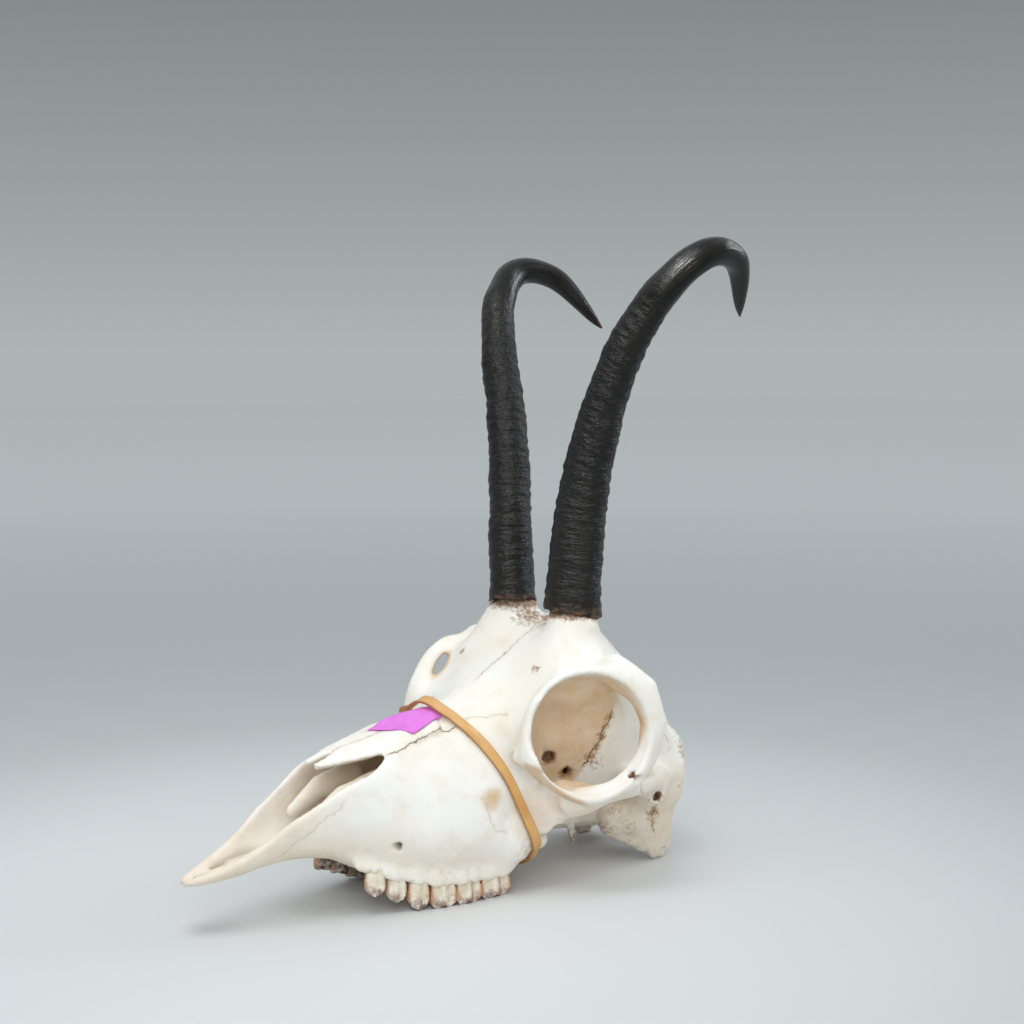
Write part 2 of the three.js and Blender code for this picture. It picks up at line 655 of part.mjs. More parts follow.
// Horn sheaths. The left and the right line are close to mirror images, but not quite.
const LEFT_HORN_LINE = [
  [18.7, 61.1, 101.8], [21.2, 61.6, 129.1], [24.9, 62.9, 152.6], [32, 64.8, 177.3], [42.4, 67.9, 201.7],
  [53.7, 76, 222.2], [60.7, 90.1, 234.6], [57.9, 106.6, 233.2], [43.6, 122.8, 212.8],
];
const RIGHT_HORN_LINE = [
  [-19.3, 61, 101.8], [-21.6, 61.6, 127.8], [-25, 63.7, 151.2], [-31.7, 66.6, 176], [-41.8, 70.5, 200.4],
  [-52.9, 79.3, 220.7], [-59.9, 93.8, 232.7], [-57.3, 110.3, 230.5], [-43.6, 125.8, 209.3],
];
const HORN_LONG_AXIS = vec(0.59, 0.81, 0); // the section's long axis at the base of the left horn
const hornHalfLong = along([0, 0.1, 0.25, 0.4, 0.6, 0.75, 0.85, 0.93, 0.98, 1], [10.8, 10.4, 9.4, 8.1, 6.9, 6, 5, 3.6, 1.9, 0.5]);
const hornHalfShort = along([0, 0.1, 0.25, 0.4, 0.6, 0.75, 0.85, 0.93, 0.98, 1], [9, 8.6, 8.2, 7.6, 6.8, 6, 5, 3.6, 1.9, 0.5]);
const RIDGES_UP_TO = 0.6;
const RIDGES = 15;
const HORN_SIDES = 12;

function hornRings(line, long, grow = 0, startEarly = 0) {
  const curve = new THREE.CatmullRomCurve3(line.map((p) => vec(...p)), false, "centripetal");
  const stations = [];
  for (let i = 0; i < RIDGES * 2; i++) stations.push({ t: (RIDGES_UP_TO * i) / (RIDGES * 2), ridge: i % 2 ? 0.03 : -0.015 });
  for (const t of [0.6, 0.66, 0.72, 0.78, 0.84, 0.89, 0.93, 0.965, 0.99, 1]) stations.push({ t, ridge: 0 });
  const direction = long.clone();
  return stations.map(({ t, ridge }, i) => {
    const centre = curve.getPointAt(t);
    const tangent = curve.getTangentAt(t);
    direction.addScaledVector(tangent, -direction.dot(tangent)).normalize();
    if (i === 0) centre.addScaledVector(tangent, -startEarly);
    const swell = 1 + ridge;
    return ringAcross(centre, tangent, direction, hornHalfLong(t) * swell + grow, hornHalfShort(t) * swell + grow, HORN_SIDES);
  });
}

// The bony core inside the sheath, or with more round it the socket that it fits in
function coreRings(side, more) {
  const rings = [[-8, 0], [0, 0], [0.35, 0.35], [0.7, 0.7], [0.93, 0.96], [1, 1.6]].map(([up, slim]) => {
    const radius = slim > 1 ? CORE_TIP_RADIUS * 0.55 : THREE.MathUtils.lerp(CORE_BASE_RADIUS, CORE_TIP_RADIUS, slim);
    const height = up < 0 ? up : up * CORE_REACH;
    return ringAcross(coreAt(height + (up === 1 ? more : 0)), CORE_LEAN, vec(1, 0, 0), radius + more, radius + more, 12);
  });
  return side > 0 ? rings : rings.map((ring) => ring.map(mirrored));
}

const horns = [
  { name: "horn_sheath_left", side: 1, line: LEFT_HORN_LINE, long: HORN_LONG_AXIS },
  { name: "horn_sheath_right", side: -1, line: RIGHT_HORN_LINE, long: mirrored(HORN_LONG_AXIS) },
];
for (const horn of horns) {
  const outer = solid(skinned(hornRings(horn.line, horn.long)));
  horn.solid = outer.subtract(solid(skinned(coreRings(horn.side, 0.45))));
  const room = solid(skinned(hornRings(horn.line, horn.long, 0.45, 0.4)));
  horn.room = room.subtract(solid(skinned(coreRings(horn.side, 0))));
}

// Cheek teeth. The outline of a crown from above, front first along the outer side, in units of
// its half width and half length. Tip heights say how far up from the worn tips each point is.
const PREMOLAR_OUTLINE = [
  [0.45, -1], [0.78, -0.72], [1, -0.1], [0.72, 0.3], [0.86, 0.72], [0.5, 1], [-0.1, 0.95], [-0.6, 0.75],
  [-0.92, 0.35], [-1, 0], [-0.92, -0.4], [-0.6, -0.8], [-0.1, -0.98],
];
const PREMOLAR_TIPS = [2.6, 1.6, 0, 1.2, 1.8, 2.6, 2.4, 1.8, 1.1, 0.9, 1.3, 2, 2.6];
const MOLAR_OUTLINE = [
  [0.8, -1], [0.66, -0.55], [1, -0.04], [0.66, 0.5], [0.8, 0.98], [0, 1], [-0.72, 0.86],
  [-1, 0.5], [-0.8, 0.16], [-0.5, 0], [-0.8, -0.16], [-1, -0.5], [-0.72, -0.86], [0, -1],
];
const MOLAR_TIPS = [1.7, 0, 1.5, 0, 1.7, 2, 1.4, 0.8, 1.5, 2, 1.5, 0.8, 1.4, 2];

// Each tooth: middle of its outer face, length along the row, width, turn, gum line and tip height
const TEETH = [
  { name: "premolar_2", x: 20.5, y: -27.8, length: 7.4, width: 5.6, turn: 0.25, gum: 13.8, tip: 7 },
  { name: "premolar_3", x: 22.6, y: -20.2, length: 7.2, width: 7, turn: 0.27, gum: 11, tip: 3.9 },
  { name: "premolar_4", x: 25, y: -12.3, length: 7.8, width: 8, turn: 0.27, gum: 8.8, tip: 0.5 },
  { name: "molar_1", x: 27.4, y: -3.2, length: 9.6, width: 9.2, turn: 0.14, gum: 7.4, tip: -0.5 },
  { name: "molar_2", x: 28.5, y: 7.2, length: 10.4, width: 9.6, turn: 0.03, gum: 6.8, tip: -0.5 },
  { name: "molar_3", x: 28.2, y: 19.4, length: 13, width: 9.2, turn: -0.03, gum: 6.6, tip: -0.5 },
];

function toothRings(tooth, side, grow = 0) {
  const molar = tooth.name.startsWith("molar");
  const outline = molar ? MOLAR_OUTLINE : PREMOLAR_OUTLINE;
  const tips = molar ? MOLAR_TIPS : PREMOLAR_TIPS;
  const ring = (size, z, useTips) => outline.map(([across, down], i) => {
    const dx = across * ((tooth.width / 2) * size + grow) - tooth.width / 2;
    const dy = down * ((tooth.length / 2) * size + grow);
    const x = tooth.x + dx * Math.cos(tooth.turn) + dy * Math.sin(tooth.turn);
    const y = tooth.y + dy * Math.cos(tooth.turn) - dx * Math.sin(tooth.turn);
    return vec(x * side, y, z + (useTips ? tips[i] : 0));
  });
  const top = ring(0.5, tooth.gum + TOOTH_ROOT + grow, false);
  const rings = [top, ring(0.62, tooth.gum + 0.8, false), ring(0.92, tooth.gum - 2, false)];
  rings.push(ring(1, tooth.tip + 3.2, false), ring(0.88, tooth.tip - grow, true));
  rings[rings.length - 1].capLift = molar ? 0.9 : 0.6;
  return rings;
}

const ground = new THREE.BoxGeometry(400, 400, 20);
ground.translate(0, 0, -10);
const belowGround = solid(ground);

const teeth = [];
for (const side of [1, -1]) {
  for (const tooth of TEETH) {
    teeth.push({
      name: `${tooth.name}_${side > 0 ? "left" : "right"}`,
      solid: solid(skinned(toothRings(tooth, side))).subtract(belowGround),
      room: solid(skinned(toothRings(tooth, side, GAP))),
    });
  }
}

// The skull, cut to seat the horn sheaths and the teeth, and flat where it stands
const drawn = surfaceOf(bone, [-GRID_HALF_WIDTH, -99, -4], [GRID_HALF_WIDTH, 122, 141], GRID);
let skull = largest(solid(thinned(drawn, BONE_TRIANGLES)));
for (const { room } of [...horns, ...teeth]) skull = skull.subtract(room);
skull = largest(skull.subtract(belowGround));

// Paper label, draped on the nasal bones under the band. Its corners from above, as x and y.
const LABEL_CORNERS = [[-4.4, -14.3], [12.6, -6.4], [7, 11.2], [-11.4, 3.2]];
const LABEL_STEPS = [6, 3];
const LABEL_OFF_BONE = 0.6;

function roofHeight(x, y, off) {
  let [low, high] = [50, 90];
  for (let i = 0; i < 30; i++) {
    const middle = (low + high) / 2;
    if (bone(x, y, middle) < off) low = middle;
    else high = middle;
  }
  return low;
}

function labelBody() {
  const [across, down] = LABEL_STEPS;
  const [frontRight, frontLeft, rearLeft, rearRight] = LABEL_CORNERS;
  const rings = [];
  for (let i = 0; i <= across; i++) {
    const u = i / across;
    const lower = [];
    const upper = [];
    for (let j = 0; j <= down; j++) {
      const v = j / down;
      const mix = (axis) => THREE.MathUtils.lerp(
        THREE.MathUtils.lerp(frontRight[axis], frontLeft[axis], u),
        THREE.MathUtils.lerp(rearRight[axis], rearLeft[axis], u), v);
      const [x, y] = [mix(0), mix(1)];
      const z = roofHeight(x, y, LABEL_OFF_BONE);
      lower.push(vec(x, y, z));
      upper.unshift(vec(x, y, z + LABEL_THICKNESS));
    }
    rings.push([...lower, ...upper]);
  }
  return skinned(rings);
}

// Rubber band: a taut loop over the nose, down behind the last molars and across under the palate
const BAND_LINE = [
  [0, 7.4, 66], [5.3, 9.6, 66], [9.8, 11.9, 64.6], [14.2, 14.6, 61.6], [18.3, 17.6, 56.8], [22, 20.4, 52.2],
  [25, 22.8, 48], [26.9, 25, 42.6], [28.2, 26.8, 37.8], [28.9, 28.5, 32.2], [29.3, 30, 26.8], [29, 31.5, 20.5],
  [27.6, 32.4, 15.4], [24.5, 33, 11.6], [12, 33.2, 9.4], [0, 33.2, 9], [-12, 33.2, 9.4], [-24.5, 33, 11.6],
  [-27.6, 32.2, 15.4], [-29, 30, 20.5], [-29.3, 26.6, 28], [-28.2, 22.4, 36], [-25.6, 17, 44.5],
  [-21.6, 11.6, 52.8], [-17.2, 6.6, 59.4], [-13, 3.2, 63.4], [-9.3, 3.8, 64.8], [-4, 5.6, 66],
];
const BAND_STATIONS = 52;
const BAND_OFF_BONE = 0.8;

function bandBody() {
  const curve = new THREE.CatmullRomCurve3(BAND_LINE.map((p) => vec(...p)), true, "centripetal");
  const centre = vec(0, 22, 38);
  const onLabel = (p) => p.z > 58 && Math.abs(p.x) < 12.5;
  const liftAt = (p) => BAND_OFF_BONE + (onLabel(p) ? LABEL_THICKNESS + GAP + 0.1 : 0);
  const stations = Array.from({ length: BAND_STATIONS }, (_, i) => {
    const point = curve.getPointAt(i / BAND_STATIONS);
    const free = point.z < 12;
    const normal = free ? vec(0, 0, -1) : outwards(point);
    if (!free) for (let n = 0; n < 4; n++) point.addScaledVector(normal, liftAt(point) - bone(point.x, point.y, point.z));
    return { point, normal };
  });
  const at = (i) => stations[(i + BAND_STATIONS) % BAND_STATIONS];
  const evened = stations.map((_, i) => {
    const normal = vec(0, 0, 0);
    for (let n = -3; n <= 3; n++) normal.addScaledVector(at(i + n).normal, 4 - Math.abs(n));
    return normal.addScaledVector(at(i).point.clone().sub(centre).normalize(), 2).normalize();
  });
  const rings = stations.map(({ point }, i) => {
    const tangent = at(i + 1).point.clone().sub(at(i - 1).point).normalize();
    const across = tangent.clone().cross(evened[i]).normalize();
    const out = across.clone().cross(tangent).normalize();
    const draped = (side) => {
      const edge = point.clone().addScaledVector(across, (side * BAND_WIDTH) / 2);
      for (let n = 0; n < 6; n++) {
        const short = liftAt(edge) - bone(edge.x, edge.y, edge.z);
        if (short > 0) edge.addScaledVector(out, short);
      }
      return edge;
    };
    const raised = (edge) => edge.clone().addScaledVector(out, BAND_THICKNESS);
    const [front, rear] = [draped(-1), draped(1)];
    return [front, rear, raised(rear), raised(front)];
  });
  return skinned(rings, true);
}

// The group, moved so that its origin lies under the middle of the whole object
const object = new THREE.Group();
object.name = "chamois_skull";
const pieces = new THREE.Group();
pieces.position.set(0, -MIDDLE_Y, 0);
object.add(pieces);

function place(name, geometry, material) {
  const mesh = new THREE.Mesh(geometry, material);
  mesh.name = name;
  pieces.add(mesh);
}

place("skull", geometryFrom(skull), BONE);
for (const horn of horns) place(horn.name, geometryFrom(horn.solid), HORN);
for (const tooth of teeth) place(tooth.name, geometryFrom(tooth.solid), TOOTH);
place("rubber_band", geometryFrom(solid(bandBody())), RUBBER);
place("paper_label", geometryFrom(solid(labelBody())), PAPER);

export default object;
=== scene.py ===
"""A chamois skull with both horn sheaths, held in a rubber band with a paper label, on a pale floor."""
import bmesh
import bpy
import numpy as np
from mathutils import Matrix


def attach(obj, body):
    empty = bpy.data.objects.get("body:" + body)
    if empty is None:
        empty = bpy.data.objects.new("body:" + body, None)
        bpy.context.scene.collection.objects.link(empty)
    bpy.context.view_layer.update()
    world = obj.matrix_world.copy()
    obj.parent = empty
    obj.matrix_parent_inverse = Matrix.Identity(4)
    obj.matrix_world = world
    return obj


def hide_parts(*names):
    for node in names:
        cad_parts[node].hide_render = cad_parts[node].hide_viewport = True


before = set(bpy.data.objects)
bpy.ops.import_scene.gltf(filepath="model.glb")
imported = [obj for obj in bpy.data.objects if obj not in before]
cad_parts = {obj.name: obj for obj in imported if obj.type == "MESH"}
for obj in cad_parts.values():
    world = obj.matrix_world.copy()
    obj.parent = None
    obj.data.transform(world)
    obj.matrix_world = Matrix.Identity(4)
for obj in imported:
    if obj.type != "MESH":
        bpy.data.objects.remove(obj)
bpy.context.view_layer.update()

import openvdb
from mathutils import Vector

# Camera
# A long lens from the animal's left front, a little above the skull, looking slightly down.
lens = bpy.data.cameras.new("camera")
lens.lens = 61.28
lens.clip_start = 0.02
camera = bpy.data.objects.new("camera", lens)
bpy.context.scene.collection.objects.link(camera)
camera.location = (0.5338, -0.3611, 0.1975)
camera.rotation_euler = Vector((-0.8033, 0.5889, -0.0891)).to_track_quat("-Z", "Y").to_euler()
bpy.context.scene.camera = camera
bpy.context.scene.view_settings.view_transform = "Standard"

# Floor and studio light
# Matt pale paper, laid flat and very wide, under one large soft box with a weaker one on each side.
FLOOR_HALF = 6.0  # metres from the object to the floor's edge

sweep = bmesh.new()
bmesh.ops.create_grid(sweep, x_segments=8, y_segments=8, size=FLOOR_HALF)
floor_mesh = bpy.data.meshes.new("floor")
sweep.to_mesh(floor_mesh)
sweep.free()
floor = bpy.data.objects.new("floor", floor_mesh)
bpy.context.scene.collection.objects.link(floor)


def paint(code):
    """An sRGB hex colour as the linear values that the shader works in."""
    parts = [int(code[i:i + 2], 16) / 255 for i in (1, 3, 5)]
    return [p / 12.92 if p <= 0.04045 else ((p + 0.055) / 1.055) ** 2.4 for p in parts] + [1.0]


def node(tree, kind, sockets=(), out=0, **settings):
    """Adds a node with its settings, sets or links its sockets in order or by key, and gives one output."""
    made = tree.nodes.new("ShaderNode" + kind)
    for name, value in settings.items():
        setattr(made, name, value)
    keyed = sockets if isinstance(sockets, dict) else dict(enumerate(sockets))
    for key, value in keyed.items():
        if isinstance(value, bpy.types.NodeSocket):
            tree.links.new(value, made.inputs[key])
        else:
            made.inputs[key].default_value = value
    return made.outputs[out]


def new_material(name):
    """A material with its node tree and its shader."""
    material = bpy.data.materials.new(name)
    material.use_nodes = True
    return material, material.node_tree, material.node_tree.nodes["Principled BSDF"]


# Background paper, matt: it takes soft shadows and gives almost no reflection. Its tint carries a painted
# pool of light that fades with the distance from the object: pale close round it, darker about a third of a
# metre out, then paler again, so that no line shows where it meets the room.
paper_floor, tree, shader = new_material("matt_background_paper")
place = node(tree, "TexCoord", out="Object")
away = node(tree, "VectorMath", [place], out="Value", operation="LENGTH")
away = node(tree, "MapRange", [away, 0.0, FLOOR_HALF])
painted_light_pool = node(tree, "ValToRGB", [away])
stops = painted_light_pool.node.color_ramp.elements
stops[0].color = paint("#d4d6d7")
stops[1].color = paint("#d6d9d9")
for position, code in ((0.03, "#d1d4d5"), (0.05, "#c3c7c8"), (0.083, "#c7cacc"), (0.28, "#dcdfe0")):
    stops.new(position).color = paint(code)
tree.links.new(painted_light_pool, shader.inputs["Base Color"])
shader.inputs["Roughness"].default_value = 0.62
shader.inputs["Specular IOR Level"].default_value = 0.25
floor_mesh.materials.append(paper_floor)

# The room's own light: grey at the height of the horizon and pale above
room = bpy.data.worlds.new("studio")
bpy.context.scene.world = room
room.use_nodes = True
tree = room.node_tree
up = node(tree, "SeparateXYZ", [node(tree, "TexCoord", out="Generated")], out="Z")
fade = node(tree, "ValToRGB", [up])
stops = fade.node.color_ramp.elements
stops[0].color = paint("#afb5b6")
stops[1].position = 0.20
stops[1].color = paint("#84898a")
for position, code in ((0.08, "#9da3a4"), (0.45, "#d3d8da")):
    stops.new(position).color = paint(code)
tree.links.new(fade, tree.nodes["Background"].inputs["Color"])
tree.nodes["Background"].inputs["Strength"].default_value = 1.0


def soft_box(name, place, aim, size, power, spread, tint="#ffffff"):
    """A square soft box that faces a point, with a grid that keeps its light within an angle."""
    light = bpy.data.lights.new(name, "AREA")
    light.size = size
    light.energy = power
    light.spread = np.radians(spread)
    light.color = paint(tint)[:3]
    holder = bpy.data.objects.new(name, light)
    bpy.context.scene.collection.objects.link(holder)
    holder.location = place
    holder.rotation_euler = (Vector(aim) - Vector(place)).to_track_quat("-Z", "Y").to_euler()
    return holder


soft_box("top_box", (0.10, -0.26, 0.72), (0.02, -0.09, 0.0), 0.40, 0.47, 80)
soft_box("front_box", (0.75, -0.55, 0.55), (0.0, 0.0, 0.06), 0.40, 0.175, 50)
soft_box("low_box", (0.66, -0.16, 0.20), (0.02, 0.03, 0.03), 0.36, 0.070, 60, "#fff8ee")
soft_box("side_box", (0.10, 0.80, 0.50), (0.0, 0.0, 0.12), 0.35, 0.20, 50, "#f4f8ff")
# A small lamp that only draws the streak on the hooks
glint = soft_box("glint_box", (0.425, -0.315, 0.725), (0.05, 0.06, 0.20), 0.12, 1.5, 120)
glint.visible_diffuse = False

# Skull
# Dry bleached bone of an adult chamois without its lower jaw. Its bones have grown together along
# sutures, so it is one body, shaped like clay: smooth forms are added to it and cut from it, as
# distances in millimetres. The left half is described, and the right half mirrors it.
MIDDLE_Y = 16.3  # how far the middle of the whole length lies behind the skull's own zero


def along(stations, values):
    """A smooth curve through values at rising stations."""
    s = np.array(stations, float)
    v = np.array(values, float)
    slope = np.gradient(v, s)

    def at(where):
        w = np.clip(where, s[0], s[-1])
        i = np.clip(np.searchsorted(s, w) - 1, 0, len(s) - 2)
        step = s[i + 1] - s[i]
        t = (w - s[i]) / step
        rise = (3 - 2 * t) * t * t
        bend = step * t * (1 - t) * ((1 - t) * slope[i] - t * slope[i + 1])
        return v[i] + rise * (v[i + 1] - v[i]) + bend
    return at


def blend(a, b, soft):
    """The smaller of two distances, with the crease between them filled."""
    h = np.maximum(soft - np.abs(a - b), 0) / soft
    return np.minimum(a, b) - h * h * soft / 4


def egg_distance(a, b, c, ra, rb, rc):
    """About how far a point lies outside an egg with its middle at zero."""
    k = np.sqrt((a / ra) ** 2 + (b / rb) ** 2 + (c / rc) ** 2)
    slope = np.sqrt((a / ra ** 2) ** 2 + (b / rb ** 2) ** 2 + (c / rc ** 2) ** 2)
    return k * (k - 1) / np.maximum(slope, 1e-6)


def egg(centre, radii, tip=0.0, turn=0.0):
    """An egg tipped about x and then turned about z."""
    def form(x, y, z):
        dx, dy, dz = x - centre[0], y - centre[1], z - centre[2]
        dy, dz = dy * np.cos(tip) + dz * np.sin(tip), dz * np.cos(tip) - dy * np.sin(tip)
        dx, dy = dx * np.cos(turn) + dy * np.sin(turn), dy * np.cos(turn) - dx * np.sin(turn)
        return egg_distance(dx, dy, dz, *radii)
    return form


def round_axis(centre, normal):
    """How far out from an axis points lie, and how far along it."""
    w = Vector(normal).normalized()

    def at(x, y, z):
        dx, dy, dz = x - centre[0], y - centre[1], z - centre[2]
        deep = dx * w[0] + dy * w[1] + dz * w[2]
        return np.sqrt(np.maximum(dx * dx + dy * dy + dz * dz - deep * deep, 0)), deep
    return at


def pit(centre, normal, radius, depth):
    """A round bowl that is sunk along a direction."""
    at = round_axis(centre, normal)

    def form(x, y, z):
        out, deep = at(x, y, z)
        return egg_distance(out, 0, deep, radius, radius, depth)
    return form


def rim(centre, normal, radius, thick, flat):
    """A ring round a direction, deeper than it is wide where flat is over 1."""
    at = round_axis(centre, normal)

    def form(x, y, z):
        out, deep = at(x, y, z)
        return np.sqrt((out - radius) ** 2 + (deep / flat) ** 2) - thick
    return form


def bar(points, radii, thin=(1, 0, 0), squash=1.0):
    """A bar through points, its radius running through radii. Squashed, it is thinner along a direction."""
    n = np.array(Vector(thin).normalized())
    extra = squash - 1
    nodes = np.array(points, float)
    nodes = nodes + np.outer(nodes @ n * extra, n)

    def form(x, y, z):
        lift = extra * (x * n[0] + y * n[1] + z * n[2])
        x, y, z = x + lift * n[0], y + lift * n[1], z + lift * n[2]
        nearest = None
        for a, b, ra, rb in zip(nodes, nodes[1:], radii, radii[1:]):
            d = b - a
            h = np.clip(((x - a[0]) * d[0] + (y - a[1]) * d[1] + (z - a[2]) * d[2]) / (d @ d), 0, 1)
            dx, dy, dz = x - a[0] - h * d[0], y - a[1] - h * d[1], z - a[2] - h * d[2]
            away = np.sqrt(dx ** 2 + dy ** 2 + dz ** 2)
            away = (away - ra - h * (rb - ra)) / (1 + 0.5 * extra)
            nearest = away if nearest is None else np.minimum(nearest, away)
        return nearest
    return form


def loft(rows, below=2.6, above=None):
    """A body along y. Each row: y, bottom, top, and half widths at the bottom, middle and top."""
    stations = [row[0] for row in rows]
    curves = [along(stations, [row[i] for row in rows]) for i in range(1, 6)]
    above = above or below

    def form(x, y, z):
        low, high, w_low, w_mid, w_high = [curve(y) for curve in curves]
        half = (high - low) / 2
        level = (z - (high + low) / 2) / half
        v = np.clip(level, -1.3, 1.3)
        width = np.maximum(w_mid + v * (w_high - w_low) / 2 + v * v * ((w_high + w_low) / 2 - w_mid), 0.5)
        u = np.abs(x / width)
        level = np.abs(level)
        k = (u ** below + level ** below) ** (1 / below)
        if above != below:
            k = np.where(v < 0, k, (u ** above + level ** above) ** (1 / above))
        end = np.maximum(stations[0] - y, y - stations[-1])
        return -blend(-(k - 1) * np.minimum(width, half), -end, 2.0)
    return form


def merge(a, b, soft):
    """Two forms as one."""
    return lambda x, y, z: blend(a(x, y, z), b(x, y, z), soft)


def without(a, b, soft):
    """One form with another taken out of it."""
    return lambda x, y, z: -blend(-a(x, y, z), b(x, y, z), soft)


clay = []  # what is added to the face or cut from it, in turn


def add(form, soft):
    clay.append((1, form, soft))


def cut(form, soft):
    clay.append((-1, form, soft))


# The skull's face, from the snout to the eye sockets
face = loft([
    (-94, 17.6, 30, 3, 3.4, 3),
    (-86, 17.8, 33, 7.2, 7.2, 6),
    (-77, 18.8, 38, 9.4, 9.2, 8),
    (-67, 20.4, 45, 11.2, 11.4, 10.5),
    (-57, 21.4, 54, 12.6, 13.8, 12.5),
    (-47, 20.8, 60, 14.2, 16.6, 15.5),
    (-38, 18.6, 64, 16, 19.4, 16.5),
    (-30, 14.6, 66, 18.5, 22, 16),
    (-24, 12.4, 66, 20.4, 24, 15),
    (-16, 9.8, 65, 23, 26.2, 14),
    (-8, 8, 64.2, 25.6, 28.2, 13.5),
    (2, 6.8, 65, 27.6, 30, 13),
    (12, 6.6, 66.6, 28.4, 30, 12.5),
    (22, 6.2, 69.5, 28.4, 29, 13.5),
    (31, 7.2, 74.5, 27, 27.5, 18),
    (42, 18, 80, 20, 25, 24),
], 3.6, 3.0)
nose_edge = along(
    (-94, -86, -77.5, -67, -57, -47, -38, -30, -19, -12, -4, 10),
    (19.6, 21.6, 24.8, 30.2, 37, 42.8, 48, 51.4, 56.4, 60.5, 66, 80),
)
cut(lambda x, y, z: (nose_edge(y) - z) * 0.85, 1.6)
forehead = loft([
    (15, 50, 64, 10, 12, 10),
    (22, 48, 68.5, 16, 20, 17),
    (27, 48, 72, 25, 30, 23),
    (32, 48, 76, 33, 39, 28),
    (40, 50, 83, 35, 43, 27),
    (50, 52, 90, 37, 44, 27),
    (60, 52, 94, 37, 43, 26),
    (70, 52, 95, 32, 37, 25),
    (80, 54, 92, 26, 30, 24),
], 2.6, 2.3)
add(forehead, 8)
# Cheek, facial crest and the hollow of the jaw muscle
cheekbone = bar([(27, 22, 26), (31, 35, 30), (40, 46, 38)], [6, 8, 7])
jaw_end = bar([(25, 24, 16), (23.5, 42, 17)], [5, 3.2])
add(merge(cheekbone, jaw_end, 6), 8)
add(bar([(32, 25.5, 52), (37, 27.5, 53), (42, 30, 51.5)], [1.4, 2.2, 3.4]), 4)
cut(egg((53, 29, 31), (25, 22, 22)), 4)
cheek_plate = [(25.5, 22, 22), (27, 31, 25), (32.5, 40, 30), (42.5, 48.5, 35.8)]
add(bar(cheek_plate, [7.5, 6.8, 5.2, 3.4], (0.8, -0.6, 0), 2.4), 4)
# Nose passage, open above in front of the nasal bones
nose_passage = loft([
    (-92, 20.3, 44, 0.8, 1.2, 1.4),
    (-84, 20.6, 44, 4, 4.2, 4),
    (-77, 21.4, 48, 6.4, 6.6, 6.2),
    (-67, 23, 56, 8.4, 9, 8.6),
    (-57, 23.8, 64, 10.2, 11.6, 11),
    (-47, 23.8, 70, 11.8, 14.4, 13.8),
    (-38, 22.6, 72, 13.4, 16.8, 14.2),
    (-30, 20, 70, 15, 19, 13.6),
    (-22, 18.5, 63, 16.5, 20.6, 11.6),
    (-16, 18, 57.5, 17, 21.6, 9.6),
    (0, 18, 58, 17.5, 23, 10),
    (14, 18, 57, 16, 20, 10),
    (26, 20, 50, 8, 12, 8),
], 3.2)
cut(nose_passage, 1.2)
add(bar([(7.4, -46, 35), (8.5, -34, 41.5), (9.5, -20, 44.5)], [2.4, 4.4, 5.4], (1, 0, 0), 1.4), 2)
# Nasal bones, a thin roof that ends in two points
nasal_top = loft([
    (-44, 51.8, 53.8, 2, 5, 3),
    (-39, 51.6, 55, 5.5, 6.6, 5),
    (-32, 52.2, 57, 9, 9.6, 8),
    (-22, 53.8, 59.2, 12.2, 12.6, 9.5),
    (-12, 56, 61.4, 13.2, 14, 10),
    (6, 60, 65.4, 13, 14, 10),
])
nasal_hollow = loft([
    (-48, 44, 51.8, 2, 3.6, 1.5),
    (-39, 44, 53, 4.5, 5.2, 3.5),
    (-32, 44, 54.8, 8, 8.4, 6),
    (-22, 44, 56.8, 10.5, 11.2, 8),
    (-12, 44, 59, 11.5, 12.2, 8),
    (8, 44, 60.4, 11.5, 12, 7),
])
nasal_notch = bar([(0, -48, 54), (0, -38, 54.4), (0, -34, 55.4)], [3.6, 2, 0.6])
add(without(without(nasal_top, nasal_hollow, 0.8), nasal_notch, 1.5), 1)
# Floor of the nose, the slits behind the snout, and the vault of the palate
add(bar([(0, -74, 22.5), (0, -40, 24), (0, 10, 22)], [1.2, 1.6, 2]), 3)
cut(bar([(3.2, -80, 19), (4.6, -66, 22), (4.2, -56, 22)], [0.8, 1.9, 1.2], (0, 0, 1), 0.35), 1)
cut(loft([
    (-44, 10, 19, 8, 8, 5),
    (-30, 0, 16.5, 11, 12, 7),
    (-10, -6, 15, 15, 16, 9),
    (12, -6, 14.5, 18, 18, 10),
    (28, -6, 15, 18.6, 18.6, 11),
    (40, -6, 17, 19, 18, 12),
    (50, -6, 18, 20, 20, 12),
], 2.4), 3)
# Eye socket and the temporal hollow behind it
ORBIT = np.array((47.9, 46.2, 60.4))
ORBIT_AXIS = np.array(Vector((0.922, -0.351, 0.151)).normalized())
add(rim(ORBIT - 1.6 * ORBIT_AXIS, ORBIT_AXIS, 23.0, 0.6, 1.5), 10)
cut(pit(ORBIT + 3 * ORBIT_AXIS, ORBIT_AXIS, 21.6, 31), 1.6)
cut(egg((46, 72, 52), (17, 17, 25)), 5)
# Braincase
add(loft([
    (46, 26, 82, 8, 20, 18),
    (56, 22, 91, 10, 27, 20),
    (66, 20, 95.5, 14, 31, 22),
    (76, 18, 94.5, 18, 33, 22),
    (86, 17, 88, 20, 33.5, 22),
    (96, 16, 77, 20, 33, 20),
    (104, 16, 64, 18, 30, 18),
    (112, 22, 52, 12, 24, 14),
], 2.3), 4)
